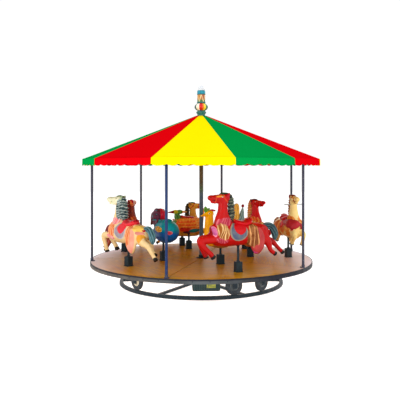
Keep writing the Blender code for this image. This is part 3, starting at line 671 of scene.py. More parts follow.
def finial():
    """The crown ornament: a striped ball with painted shade at its sides, a drum with a zigzag, a cap with
    ribs drawn in painted shade, and a lamp dome.
    """
    paint = painted_by_point("finial_enamel")
    collar = srgb("2c7068")

    def coloured(name, profile, sides, colour_of, replaced):
        bm = bmesh.new()
        layer = bm.verts.layers.float_color.new("paint")
        loops = []
        for radius, height in profile:
            loop = []
            for index in range(sides):
                bearing = 360.0 * index / sides
                vert = bm.verts.new(radial(bearing, radius, height))
                vert[layer] = (*colour_of(bearing, height), 1.0)
                loop.append(vert)
            loops.append(loop)
        bridged(bm, loops, capped=True)
        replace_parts(done(bm, name, paint), replaced)

    low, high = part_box("finial_ball")
    middle = CANOPY_APEX + 0.099
    band = 0.052
    # The dark green gores fall at the ball's left and right edges as seen from the front: painted shade on
    # its turning sides.
    gores = (
        (12, "1a4a38"), (41, "fcf4de"), (71, "d61618"), (84, "ee7418"), (105, "fcde3c"), (120, "3c823c"),
        (150, "1a4a38"), (190, "780a10"), (220, "fcde3c"), (260, "3c823c"), (300, "d61618"), (325, "ee7418"),
        (361, "1a4a38"),
    )

    def ball_colour(bearing, height):
        if height < middle - band or height > middle + band:
            return collar
        place = (bearing + 60.0) % 360.0
        return srgb(next(code for end, code in gores if place < end))

    profile = [(0.060, low.z + 0.001), (0.060, CANOPY_APEX - 0.010), (0.076, CANOPY_APEX + 0.010),
               (0.0775, CANOPY_APEX + 0.018), (0.076, CANOPY_APEX + 0.026), (0.064, CANOPY_APEX + 0.036)]
    for step in range(15):
        turn = math.radians(-58.0 + 116.0 * step / 14)
        profile.append((0.103 * math.cos(turn), middle + 0.066 * math.sin(turn)))
    profile += [(0.050, high.z - 0.002), (0.046, high.z - 0.001)]
    coloured("finial_striped_ball", profile, 144, ball_colour, "finial_ball")

    low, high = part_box("finial_drum")

    def drum_colour(bearing, height):
        if height < low.z + 0.021 or height > high.z - 0.006:
            return collar
        up = (height - low.z - 0.021) / (high.z - low.z - 0.027)
        zigzag = abs(((bearing / 30.0) % 2.0) - 1.0)
        if abs(up - zigzag) < 0.15:
            return srgb("ecd296")
        if up < 0.3:
            return srgb("4a7032")
        return srgb("be8030" if int(bearing / 60.0) % 2 else "aa542c")

    profile = [(0.060, low.z), (0.067, low.z + 0.002), (0.067, low.z + 0.017), (0.062, low.z + 0.022)]
    profile += [(0.061, low.z + 0.022 + (high.z - low.z - 0.024) * step / 24) for step in range(1, 25)]
    profile.append((0.056, high.z))
    coloured("finial_zigzag_drum", profile, 240, drum_colour, "finial_drum")

    low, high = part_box("finial_cap")

    def cap_colour(bearing, height):
        # The ribs are not modelled: the dark teal bands between them are painted shade. The foot band is
        # dark teal too.
        rib = math.cos(math.radians(bearing * 16.0))
        return srgb("146e7a" if height < low.z + 0.012 or rib < -0.3 else "189eba")

    profile = [(0.058, low.z), (0.0645, low.z + 0.002), (0.065, low.z + 0.010), (0.0625, low.z + 0.014),
               (0.0635, low.z + 0.044), (0.058, high.z - 0.004), (0.050, high.z)]
    coloured("finial_ribbed_cap", profile, 192, cap_colour, "finial_cap")

    low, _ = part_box("finial_lamp")
    bm = new_bm()
    rises = [math.radians(turn) for turn in range(0, 90, 6)]
    profile = [(0.056 * math.cos(rise), low.z + 0.078 * math.sin(rise)) for rise in rises]
    spun(bm, profile + [(0.004, low.z + 0.079)], 40, Matrix.Identity(4), ring=False)
    lamp = done(bm, "finial_lamp_dome", milky("frosted_dome"))
    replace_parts(lamp, "finial_lamp")


# Turntable

def round_border(grid):
    """The border of a grid of vertices, in order."""
    return grid[0] + [line[-1] for line in grid[1:-1]] + grid[-1][::-1] + [line[0] for line in grid[-2:0:-1]]


def deck_boards():
    """Six plywood sectors with open joints between them, and countersunk screws."""
    gap = 0.009
    eased = 0.002
    steps = 16
    outer = DECK_RADIUS - 0.0086
    rings = (0.034, 0.4, 0.8, 1.15, 1.4, 1.55, outer - 0.004, outer)
    bm = bmesh.new()
    grain = bm.verts.layers.float_vector.new("grain")
    reach = bm.verts.layers.float.new("reach")
    for number, (start, end) in enumerate(zip(BOARD_JOINTS, (*BOARD_JOINTS[1:], BOARD_JOINTS[0] + 360.0))):
        turn = Matrix.Rotation(math.radians(-(start + end) / 2 + 8.0 * (number % 3)), 4, "Z")
        borders = []
        for level, under in ((DECK_TOP, False), (DECK_TOP - DECK_THICKNESS + 0.0005, True)):
            grid = []
            for radius in rings:
                pull = math.degrees(gap / 2 / radius)
                line = []
                for step in range(steps + 1):
                    bearing = start + pull + (end - start - 2 * pull) * step / steps
                    drop = eased if radius == outer and not under else 0.0
                    vert = bm.verts.new(radial(bearing, radius, level - drop))
                    vert[grain] = turn @ vert.co + Vector((number * 3.7, number * 1.9, 0.0))
                    # reach sets where the plywood's painted reflection shows: at the sides and back, not at
                    # the front.
                    vert[reach] = math.hypot(vert.co.x, 0.7 * max(0.0, vert.co.y)) / outer
                    line.append(vert)
                grid.append(line)
            for first, second in zip(grid, grid[1:]):
                for step in range(steps):
                    quad = (first[step], second[step], second[step + 1], first[step + 1])
                    bm.faces.new(quad[::-1] if under else quad)
            borders.append(round_border(grid))
        pairs = list(zip(*borders))
        for (top_a, low_a), (top_b, low_b) in zip(pairs, pairs[1:] + pairs[:1]):
            bm.faces.new((top_a, low_a, low_b, top_b))
    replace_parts(done(bm, "deck_boards", plywood("varnished_plywood"), sharp=30.0), "deck")
    bm = new_bm()
    for joint in BOARD_JOINTS:
        for aside in (-0.022, 0.022):
            for step in range(7):
                radius = 0.24 + 0.22 * step
                spot = radial(joint + math.degrees(aside / radius), radius, DECK_TOP)
                rod(bm, spot, spot + UP * 0.0012, 0.0055, 10)
    done(bm, "deck_screws", steel_paint("zinc", "96948c", "5a544c", 0.35, 0.8))


def ironwork(dark, slate, post_paint):
    """Bolts on the rim, collars on the posts and a flange at the column's foot."""
    bm = new_bm()
    bolts = 48
    for index in range(bolts):
        bearing = 360.0 * (index + 0.5) / bolts
        bolt(bm, radial(bearing, DECK_RADIUS - 0.004, DECK_TOP - 0.030), radial(bearing, 1.0), 0.006, 0.0065)
    done(bm, "rim_bolts", slate)

    bm = new_bm()
    for bearing in POST_BEARINGS:
        foot = radial(bearing, POST_CIRCLE - 0.012, POST_FOOT_TOP)
        for corner in range(3):
            spot = foot + radial(bearing + 60.0 + 120.0 * corner, 0.0265)
            if spot.xy.length < DECK_RADIUS - 0.006:
                bolt(bm, spot, UP, 0.005, 0.006)
        for height, profile in (
            (POST_FOOT_TOP, ((0.0185, 0.0), (0.0225, 0.0), (0.0225, 0.030), (0.0185, 0.034))),
            (1.795, ((0.0185, 0.0), (0.0215, 0.0), (0.0215, 0.045), (0.0185, 0.045))),
        ):
            spun(bm, profile, 24, Matrix.Translation(radial(bearing, POST_CIRCLE, height)))
    done(bm, "post_collars", post_paint)

    bm = new_bm()
    flange = ((0.0305, 0.0), (0.075, 0.0), (0.075, 0.006), (0.040, 0.010), (0.040, 0.045), (0.0305, 0.045))
    spun(bm, flange, 40, Matrix.Translation(UP * DECK_TOP))
    for corner in range(6):
        bolt(bm, radial(60.0 * corner, 0.058, DECK_TOP + 0.006), UP, 0.006, 0.007)
    done(bm, "column_flange", dark)


def standing(bearing, radius, yaw, height=0.0):
    """Where an animal stands: seen from above it faces clockwise, and yaw turns it from there."""
    heading = math.radians(bearing + 180.0 + yaw)
    return Matrix.Translation(radial(bearing, radius, height)) @ Matrix.Rotation(heading, 4, "Z")


def sockets(iron):
    """A welded foot and a clamp collar on every animal's socket, and a ring under its belly."""
    beside, long, thin_side = 0.046, 0.098, 0.006
    clamp = ((0.0165, 0.0), (0.023, 0.0), (0.023, 0.012), (0.020, 0.014), (0.0165, 0.014))
    seat_ring = ((0.0165, -0.010), (0.022, -0.010), (0.024, -0.004), (0.0165, -0.001))
    bm = new_bm()
    for _, _, bearing, radius, yaw, belly, _, _ in RIDES:
        turn = standing(bearing, radius, yaw)
        for x, y, size_x, size_y in ((0.0, beside, long, thin_side), (0.0, -beside, long, thin_side),
                                     (beside, 0.0, thin_side, long), (-beside, 0.0, thin_side, long)):
            slab(bm, (size_x, size_y, 0.007), turn @ Matrix.Translation((x, y, DECK_TOP + 0.004)))
        spun(bm, clamp, 24, turn @ Matrix.Translation(UP * SOCKET_TOP))
        side = turn.to_3x3() @ Vector((0.0, 1.0, 0.0))
        bolt(bm, turn @ Vector((0.0, 0.023, SOCKET_TOP + 0.006)), side, 0.004, 0.005)
        spun(bm, seat_ring, 24, turn @ Matrix.Translation(UP * belly))
    done(bm, "socket_fixings", iron)


def road_wheel(name, bearing, tyre, hub, cap):
    """A ribbed solid tyre on a pressed hub with bolts and a coloured cap."""
    lie = Matrix.Rotation(math.radians(90.0), 4, "Y")
    place = Matrix.Translation(radial(bearing, RING_RADIUS, AXLE_HEIGHT)) @ outward(bearing) @ lie
    turn = place.to_3x3()
    half = WHEEL_WIDTH / 2
    dish = half - 0.012
    edge = WHEEL_RADIUS - 0.0004
    floor = edge - 0.004
    side = [(0.062, -half + 0.006), (0.070, -half + 0.002), (0.090, -half + 0.001), (0.104, -half + 0.003),
            (floor, -half + 0.006), (edge, -half + 0.011)]
    ribs = []
    for groove in (-0.007, 0.007):
        ribs += [(edge, groove - 0.0022), (floor, groove - 0.0016)]
        ribs += [(floor, groove + 0.0016), (edge, groove + 0.0022)]
    profile = side + ribs + [(radius, -height) for radius, height in side[::-1]]
    bm = new_bm()
    spun(bm, profile, 96, place)
    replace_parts(done(bm, f"{name}_tyre", tyre, name, 35.0), name)
    bm = new_bm()
    rim = 0.0635
    side = [(rim, half - 0.006), (0.057, half - 0.004), (0.050, dish), (0.034, dish), (0.026, half + 0.001),
            (0.012, half + 0.002)]
    spun(bm, side + [(radius, -height) for radius, height in side[::-1]], 48, place)
    for corner in range(5):
        angle = math.tau * corner / 5
        for face in (-1.0, 1.0):
            spot = place @ Vector((0.042 * math.cos(angle), 0.042 * math.sin(angle), face * dish))
            bolt(bm, spot, turn @ (UP * face), 0.0045, 0.006)
    done(bm, f"{name}_hub", hub, name)
    bm = new_bm()
    for face in (-1.0, 1.0):
        start = place @ Vector((0.0, 0.0, face * (half - 0.002)))
        rod(bm, start, start + turn @ Vector((0.0, 0.0, face * 0.0055)), 0.017, 20, end_radius=0.014)
    done(bm, f"{name}_cap", cap, name)


def running_gear(slate):
    """The wheels, and a bolt at each end of their axles."""
    tyre = rubber("tyre_rubber")
    cream = enamel("hub_cream", "968c76", "e8dec4", 0.4, 0.8)
    grey = enamel("hub_grey", "2c343a", "62686a", 0.4, 0.9)
    red = enamel("cap_red", "780a10", "d61618", 0.3)
    for name, bearing in WHEEL_BEARINGS.items():
        cream_hub = name in CREAM_HUB_WHEELS
        road_wheel(name, bearing, tyre, cream if cream_hub else grey, red if cream_hub else grey)
    bm = new_bm()
    for bearing in WHEEL_BEARINGS.values():
        for side in (-1.0, 1.0):
            where = RING_RADIUS + side * (WHEEL_WIDTH / 2 + 0.018)
            bolt(bm, radial(bearing, where, AXLE_HEIGHT), radial(bearing, side), 0.009, 0.008)
    done(bm, "axle_bolts", slate)


def motor(green, brass):
    """Fins, screws and a bare plate on the motor's housing."""
    face = 0.1
    turn = outward(MOTOR_BEARING) @ Matrix.Translation((RING_RADIUS - 0.02, 0.0, 0.20))
    bm = new_bm()
    for index in range(9):
        place = turn @ Matrix.Translation((face + 0.0015, -0.155 + 0.022 * index, 0.0))
        # The fins' tone of 0.7 paints them lighter than the housing: a painted highlight.
        slab(bm, (0.004, 0.006, 0.110), place, 0.001, 0.7)
    for y in (-0.165, 0.165):
        for z in (-0.060, 0.060):
            bolt(bm, turn @ Vector((face, y, z)), turn.to_3x3() @ Vector((1.0, 0.0, 0.0)), 0.005, 0.005)
    done(bm, "motor_fins", green)
    bm = new_bm()
    slab(bm, (0.003, 0.116, 0.064), turn @ Matrix.Translation((face + 0.0012, 0.062, 0.002)), 0.001, 0.6)
    done(bm, "motor_plate", brass)


# Patterns

def ridge(phase, height=1.8, fine=3):
    """Thin pale ridges, one for each whole step of the phase."""
    return height * max(0.0, math.cos(math.tau * phase)) ** fine - 0.9


def strands(count, wave=0.0, lean=0.0):
    """Grooves that run along a loft, waved along its length."""
    def swell(t, turn):
        return math.sin(count * turn + wave * math.sin(9.0 * t) + lean * t * math.tau)
    return swell


def locks(count):
    """Ridges that wrap across a loft and slant down its sides, like combed hair."""
    def swell(t, turn):
        wander = 0.10 * math.sin(5.0 * turn + 3.0 * count * t) + 0.12 * math.sin(2.3 * count * t)
        return ridge(count * t + 0.3 * math.cos(turn) + wander)
    return swell


def feathered(scale):
    """Rows of overlapping feather tips."""
    def swell(u, v, f):
        row = math.floor(v / scale)
        across = (u / scale + 0.5 * (row % 2)) % 1.0 - 0.5
        up = (v / scale) % 1.0
        return max(-1.0, min(1.0, 2.2 * (up - 0.35 - 1.6 * across * across)))
    return swell


def thin(pitch, bend=0.0, wander=12.0, gather=0.0, lean=0.0, fine=3):
    """Thin upright strands that wave and lean, and gather towards their ends."""
    def swell(u, v, f):
        width = pitch * (1.0 - gather * min(1.0, (v / 0.16) ** 2))
        return ridge((u + lean * v + bend * math.sin(wander * v + 40.0 * u)) / width, 1.9, fine)
    return swell


def combed(pitch):
    """Locks that run across and hang down outwards."""
    def swell(u, v, f):
        return ridge((v + 0.4 * u + 0.006 * math.sin(60.0 * u)) / pitch)
    return swell


def bordered(width):
    """A darker field with a pale rim, this share of the way in."""
    def swell(u, v, f):
        return 0.9 if f > 1.0 - width else -0.6
    return swell


def ruffled(count):
    """Soft scallops round the middle."""
    def swell(u, v, f):
        return math.sin(count * math.atan2(v, u) + 5.0 * f)
    return swell


# Animals

class Ride:
    """One animal: where it stands, which way its head looks, its paints and its pieces."""

    def __init__(self, name, bearing, radius, yaw, belly, size, look, shared):
        self.name = name
        self.look = dict(look)
        self.shared = shared
        self.place = standing(bearing, radius, yaw, belly) @ Matrix.Scale(size, 4)
        hinge = Matrix.Translation((look.get("hinge", 0.210), 0.0, 0.0))
        self.gaze = hinge @ Matrix.Rotation(math.radians(look.get("gaze", 0.0)), 4, "Z") @ hinge.inverted()

    def paint(self, key, roughness=0.34, mottle=0.5):
        return enamel(f"{self.name}_{key}_paint", *self.look[key].split(), roughness, mottle)

    def add(self, made):
        made.matrix_world = self.place
        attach(made, "platform")

    def body(self, lofts, voxel, shade):
        """One skin over the lofts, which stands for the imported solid."""
        made = fused(f"{self.name}_body", lofts, self.paint("coat", mottle=0.3), voxel, shade)
        self.skin = skin_of(made)
        self.head_skin = skin_of(made, self.gaze.inverted())
        self.add(made)
        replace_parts(made, self.name)

    def piece(self, bm, part, material):
        """A piece of closed forms."""
        bmesh.ops.recalc_face_normals(bm, faces=bm.faces)
        self.add(made_from(bm, f"{self.name}_{part}", material, sharp=60.0))

    def patch(self, bm, part, material):
        """A piece made of open patches, which keep the way they face."""
        self.add(made_from(bm, f"{self.name}_{part}", material, sharp=180.0))

    def lofted(self, part, lofts, sides, steps, groove=None, roughness=0.34, key=None, on_head=False):
        """A piece made of lofts, in its own paint or another's."""
        bm = new_bm()
        for stations in lofts:
            loft(bm, stations, sides, steps, groove)
        if on_head:
            bm.transform(self.gaze)
        self.piece(bm, part, self.paint(key or part, roughness))

    def raised(self, part, outline, lift, pattern=None, key=None, **more):
        """A crowned patch on the skin, in its own paint or another's."""
        bm = new_bm()
        relief(bm, self.skin, outline, lift, pattern, **more)
        self.patch(bm, part, self.paint(key or part))

    def head_patch(self, part, material, lift, outlines, rings=13):
        """Crowned patches on the head."""
        bm = new_bm()
        for outline in outlines:
            relief(bm, self.head_skin, outline, lift, rings=rings)
        bm.transform(self.gaze)
        self.patch(bm, part, material)

    def marks(self):
        """Its own painted fields: each a name, an oval and a paint, and for some an aim and a pattern."""
        for part, outline, colours, *more in self.look.get("marks", ()):
            aim, pattern = more or (0.0, None)
            self.look[part] = colours
            sides = (1,) if aim else (1, -1)
            self.raised(part, oval(*outline), 0.005, pattern, aim=aim, sides=sides, depth=0.004)

    def eyes(self, x, z, size):
        """A pair of bulging eyes with dark pupils."""
        beads = (("eye_whites", "white", 1.0, -0.35), ("pupils", "dark", 0.55, 0.25))
        for part, material, grow, out in beads:
            bm = new_bm()
            for side in (1, -1):
                inward = Vector((0.0, -side, 0.0))
                hit, normal, _, _ = self.head_skin.ray_cast(Vector((x, side * 0.3, z)), inward)
                if hit is not None:
                    bead(bm, hit + normal * size * out, size * grow, squash=(1.25, 0.8, 0.9))
            bm.transform(self.gaze)
            self.piece(bm, part, self.shared[material])


def folded(stations, reach):
    """A foreleg drawn in towards the shoulder and the knee, to this share of its reach."""
    shoulder, knee = 0.240, 0.090
    return [
        (shoulder + (x - shoulder) * reach, y, z if z > knee else knee + (z - knee) * reach, *rest)
        for x, y, z, *rest in stations
    ]


EAR = limb((172, 32, 640, 18, 20), (156, 36, 672, 14, 14), (142, 38, 692, 4, 4))
MANE = spine((120, 668, 18, 20), (108, 600, 30, 42), (104, 500, 38, 48), (100, 400, 40, 50),
             (90, 335, 25, 35))
TAIL = spine((-370, 225, 32, 34), (-430, 245, 36, 36), (-500, 225, 42, 42), (-540, 165, 44, 44),
             (-552, 100, 38, 38), (-548, 45, 12, 14))
SADDLE = spine((68, 328, 45, 28), (30, 304, 98, 36), (-70, 288, 106, 36), (-145, 308, 92, 42),
               (-180, 332, 45, 30))
FORELOCK = spine((150, 672, 22, 16), (200, 682, 30, 14), (245, 680, 26, 12), (272, 672, 8, 6))


def horse_shapes(ride):
    """The lofts of a galloping horse: its trunk, its head and its legs."""
    skirt = limb((-232, 85, 240, 38, 100), (-226, 112, 120, 42, 118), (-222, 118, 0, 38, 104),
                 (-218, 112, -70, 28, 68), (-214, 106, -110, 12, 30))
    shoulder = limb((235, 70, 300, 30, 50), (255, 78, 200, 62, 90), (275, 70, 100, 30, 50))
    trunk = [
        spine((385, 200, 40, 50), (362, 200, 90, 100), (300, 175, 128, 165), (180, 155, 138, 160),
              (-50, 150, 132, 148), (-220, 152, 128, 142), (-340, 160, 118, 125), (-405, 175, 85, 90),
              (-440, 185, 35, 45)),
        spine((210, 220, 100, 145), (226, 350, 80, 110), (224, 445, 64, 72), (220, 540, 56, 64),
              (206, 610, 48, 60), (200, 650, 30, 40)),
        shoulder, mirrored(shoulder), skirt, mirrored(skirt[:2] + limb((-224, 110, 30, 22, 60))),
    ]
    head = [
        spine((130, 632, 28, 30), (175, 628, 52, 55), (260, 622, 50, 55), (340, 624, 42, 43),
              (400, 630, 38, 37), (434, 634, 20, 22)),
        spine((240, 588, 36, 30), (330, 578, 28, 22), (392, 573, 18, 12)),
        spine((165, 600, 40, 35), (200, 594, 50, 50), (245, 600, 43, 40)),
        EAR, mirrored(EAR),
    ]
    near_fore = limb((240, 70, 150, 52, 85), (400, 76, 105, 50, 56), (555, 80, 95, 42, 48),
                     (545, 80, 35, 36, 42), (475, 80, -35, 30, 34), (415, 80, -95, 32, 34),
                     (388, 80, -130, 33, 28))
    far_fore = limb((240, -70, 150, 52, 85), (380, -76, 105, 48, 56), (505, -80, 90, 40, 46),
                    (500, -80, 20, 34, 38), (465, -80, -60, 28, 32), (430, -80, -125, 31, 32),
                    (418, -80, -152, 32, 26))
    near_hind = limb((-300, 70, 140, 68, 110), (-385, 78, 50, 52, 62), (-420, 82, -15, 36, 42),
                     (-432, 85, -65, 28, 30), (-478, 85, -108, 29, 30), (-512, 85, -130, 30, 24))
    far_hind = limb((-300, -70, 140, 68, 110), (-430, -78, 60, 52, 58), (-550, -82, 20, 38, 42),
                    (-625, -85, -50, 28, 30), (-695, -85, -118, 28, 28), (-730, -85, -150, 29, 23))
    reach = ride.look.get("reach", 1.0)
    legs = [folded(near_fore, reach), folded(far_fore, reach), near_hind, far_hind]
    if ride.look.get("far_side_leads"):
        legs = [mirrored(leg) for leg in legs]
    return trunk, [turned(stations, ride.gaze) for stations in head], legs


def hoof(leg):
    """The stations of a hoof at the end of a leg."""
    x, y, z, wide, tall = leg[-1]
    lean = (Vector((x, y, z)) - Vector(leg[-2][:3])) * 0.8
    return [
        (x - lean.x, y - lean.y, z - lean.z, wide, tall * 1.10),
        (x - lean.x * 0.4, y, z - lean.z * 0.4, wide * 1.14, tall * 1.22),
        (x, y, z, wide * 1.20, tall * 1.30),
        (x + lean.x * 0.10, y, z + lean.z * 0.10, wide * 0.9, tall * 0.9),
    ]


def horse(ride):
    """A galloping horse in carved harness."""
    # Painted light and shade: lighter on upward faces, darker on downward faces and down the legs below the
    # belly.
    def shade(place, normal):
        return 0.62 + 0.30 * normal.z - 0.75 * max(0.0, -place.z)

    look = ride.look
    trunk, head, legs = horse_shapes(ride)
    ride.body(trunk + head + legs, SKIN_VOXEL, shade)
    ride.lofted("hooves", [hoof(leg) for leg in legs], 18, 3, strands(9), 0.45, "hoof")
    spread = look.get("mane_width", 1.0)
    mane = [(x, y, z, wide * spread, tall) for x, y, z, wide, tall in MANE]
    ride.lofted("mane", [mane], 28, 22, locks(9), 0.45)
    ride.lofted("tail", [TAIL], 28, 10, strands(7, 1.2, 0.6), 0.4)
    ride.lofted("forelock", [FORELOCK], 18, 8, strands(5, 1.0), 0.45, on_head=True)
    ears = [swollen(ear, 0.006, 0.004) for ear in (EAR, mirrored(EAR))]
    ride.lofted("ears", ears, 14, 5, key="ear", on_head=True)

    ride.raised("ruffle", oval(238, 318, 130, 60, -10.0, frill=0.05), 0.006,
                thin(0.040, 0.010, 30.0, lean=0.5))
    ride.raised("crescent", oval(48, 192, 138, 126), 0.007, bordered(0.16), depth=0.002)
    bm = new_bm()
    relief(bm, ride.skin, oval(24, 238, 96, 74, tip=0.25), 0.016)
    loft(bm, SADDLE, 24, 8)
    ride.patch(bm, "saddle", ride.paint("saddle", 0.28, 0.3))
    rolls = [
        [(x, -wide, rise - 0.012, 0.009, 0.009), (x, 0.0, rise + 0.004, 0.012, 0.012),
         (x, wide, rise - 0.012, 0.009, 0.009)]
        for x, wide, rise in ((0.072, 0.040, 0.344), (-0.184, 0.052, 0.352))
    ]
    ride.lofted("saddle_trim", rolls, 12, 6, key="trim")

    ride.raised("skirt", oval(-206, 84, 118, 180, tip=0.14), 0.008, sides=(1,), rings=16)
    ride.raised("plain_skirt", oval(-196, 125, 112, 145, tip=0.05), 0.008, sides=(-1,), key="skirt")
    ride.raised("haunch_fringe", oval(-166, 122, 94, 165, frill=0.02), 0.014,
                thin(0.058, 0.012, 16.0, gather=0.45, fine=5), rings=20, depth=0.006, key="fringe")
    ride.raised("shoulder_wing", oval(264, 198, 86, 116, -14.0, frill=0.05), 0.012,
                thin(0.034, 0.010, 34.0, lean=0.25, fine=2), rings=20, depth=0.006, key="wing")
    ride.raised("wing_edge", oval(284, 90, 96, 40, 12.0, frill=0.08), 0.009,
                thin(0.030, 0.008, 40.0, lean=-0.4), key="ruffle")
    ride.raised("rosettes", oval(374, 204, 36, 68), 0.010, bordered(0.26), depth=0.003, key="rosette")
    ride.marks()
    if "chest_band" in look:
        ride.raised("chest_band", oval(-20, 240, 130, 78), 0.020, aim=-105.0, sides=(1,),
                    rings=18, depth=0.003)
    if "mane_fall" in look:
        ride.raised("mane_fall", oval(158, 500, 76, 165, -4.0), 0.014, combed(0.036),
                    sides=(1,), rings=20, depth=0.006, key="mane")
    if "mask" in look:
        ride.lofted("mask", [swollen(stations, 0.003) for stations in head[:3]], 18, 5)

    bm = new_bm()
    strap(bm, ride.head_skin, (0.335, 0.0, 0.606), (1.0, 0.0, 0.06), 0.12)
    strap(bm, ride.head_skin, (0.205, 0.0, 0.610), (0.75, 0.0, -0.66), 0.14)
    for side in (1, -1):
        # The studs' tone of 0.8 is a painted highlight.
        bead(bm, (0.334, side * 0.046, 0.604), 0.010, 0.8)
    bm.transform(ride.gaze)
    ride.piece(bm, "bridle", ride.paint("bridle"))
    ride.head_patch("blaze", ride.paint("blaze"), 0.003, [oval(278, 650, 72, 13, -4.0)])
    # The nostrils and the open mouth are flat dark patches: painted shade where hollows would be.
    nostril, mouth = oval(405, 640, 10, 8), oval(345, 594, 45, 6)
    ride.head_patch("nostril_and_mouth_shade", ride.shared["dark"], 0.001, [nostril, mouth], rings=4)
    ride.eyes(0.245, 0.645, 0.011)

    if "handle" in look:
        bm = new_bm()
        rod(bm, (0.215, -0.150, 0.540), (0.215, 0.150, 0.540), 0.009, 16)
        ride.piece(bm, "handle", ride.shared["chrome"])
    if "footrest" in look:
        bm = new_bm()
        rod(bm, (0.0, -0.270, -0.082), (0.0, 0.270, -0.082), 0.014, 16)
        rod(bm, (0.0, 0.0, -0.104), (0.0, 0.0, -0.060), 0.027, 20)
        ride.piece(bm, "footrest", ride.shared["iron"])


BIRD_TORSO = spine((235, 160, 30, 40), (200, 155, 85, 98), (80, 140, 122, 135), (-80, 140, 124, 138),
                   (-200, 165, 86, 96), (-262, 190, 42, 50), (-280, 200, 18, 22))
WING = limb((100, 105, 160, 22, 45), (-20, 122, 170, 30, 75), (-150, 108, 185, 26, 50),
            (-235, 85, 200, 8, 12))
BIRD_SEAT = spine((75, -6, 50, 18), (30, 0, 75, 20), (-60, 2, 78, 20), (-120, 14, 60, 22),
                  (-140, 26, 30, 16))


def bird(ride, skin_shapes, trims, eye, seat_height=0.268, seat_back=0.0):
    """A carved bird: its skin, then named trims, each a list of lofts with a groove, and a seat."""
    split = ride.look.get("split")

    # Without a split: painted light and shade, lighter on upward faces. With one: the coat's own two
    # colours, below and above that height.
    def shade(place, normal):
        if split is None:
            return 0.55 + 0.35 * normal.z
        return max(0.0, min(1.0, 0.5 + (place.z - split) / 0.05))

    ride.body(skin_shapes, 0.009, shade)
    seat = [(x - seat_back, y, z + seat_height, *rest) for x, y, z, *rest in BIRD_SEAT]
    ride.lofted("seat", [seat], 22, 6, roughness=0.28)
    for part, lofts, groove in trims:
        ride.lofted(part, lofts, 20, 8, groove)
    ride.marks()
    ride.eyes(*eye)


def rooster(ride):
    """A bird with a tall neck, a flat comb, a leaf-shaped crest and two upright tail feathers."""
    neck = spine((170, 180, 75, 88), (182, 300, 55, 70), (180, 400, 48, 64), (180, 470, 44, 56),
                 (185, 512, 28, 32))
    head = spine((120, 490, 30, 30), (165, 494, 48, 44), (215, 488, 42, 38), (262, 474, 26, 22),
                 (290, 468, 10, 12))
    beak = spine((245, 478, 26, 20), (280, 470, 16, 14), (318, 462, 4, 5))
    crest = spine((222, 505, 14, 20), (236, 555, 20, 30), (245, 594, 5, 6))
    rear_crest = spine((200, 510, 12, 14), (190, 545, 12, 18), (178, 575, 4, 5))
    comb = spine((85, 530, 10, 10), (140, 537, 15, 16), (200, 528, 12, 12))
    plume = spine((-190, 220, 32, 45), (-250, 380, 30, 42), (-262, 540, 30, 44), (-262, 600, 24, 32),
                  (-260, 622, 10, 12))
    stem = spine((-230, 230, 30, 50), (-325, 360, 28, 48), (-358, 490, 20, 30), (-366, 550, 8, 10),
                 (-367, 568, 7, 8))
    ball = spine((-367, 562, 8, 8), (-368, 572, 19, 20), (-370, 590, 21, 21), (-371, 606, 10, 10))
    bird(ride, [BIRD_TORSO, neck, head, WING, mirrored(WING)], (
        ("beak", [beak], None), ("crest", [crest, rear_crest], strands(5)), ("comb", [comb], None),
        ("plume", [plume], strands(6, 1.5)), ("stem", [stem], strands(6, 1.5)), ("ball", [ball], None),
    ), (0.200, 0.498, 0.012))
    ride.raised("wings", oval(-45, 175, 170, 88, -6.0), 0.010, feathered(0.045), "wing", depth=0.007)
    ride.raised("underside", oval(10, 40, 165, 36), 0.004, key="under")


def round_bird(ride):
    """A deep-bodied bird with a short neck, a big lowered head and a comb behind it."""
    torso = spine((205, 160, 30, 40), (165, 155, 84, 96), (40, 150, 130, 146), (-110, 152, 150, 158),
                  (-250, 176, 142, 148), (-325, 205, 96, 100), (-362, 220, 32, 38))
    neck = spine((100, 190, 88, 98), (120, 260, 82, 92), (135, 320, 66, 76))
    head = spine((60, 340, 35, 42), (110, 352, 78, 92), (185, 338, 82, 92), (245, 294, 55, 56),
                 (280, 262, 32, 34))
    cowl = [(x - 0.004, *rest) for x, *rest in swollen(head, 0.007, -0.002)]
    beak = spine((235, 300, 58, 60), (285, 258, 36, 38), (330, 216, 8, 10))
    comb = spine((60, 285, 34, 34), (56, 380, 40, 50), (100, 446, 22, 24))
    crown, cowl, beak, comb = (turned(stations, ride.gaze) for stations in (head, cowl, beak, comb))
    bird(ride, [torso, neck, crown], (
        ("cowl", [cowl, swollen(neck, 0.008)], strands(12, 0.8)), ("beak", [beak], None),
        ("comb", [comb], strands(5, 0.6)),
    ), (0.205, 0.362, 0.014), seat_height=0.300, seat_back=0.070)


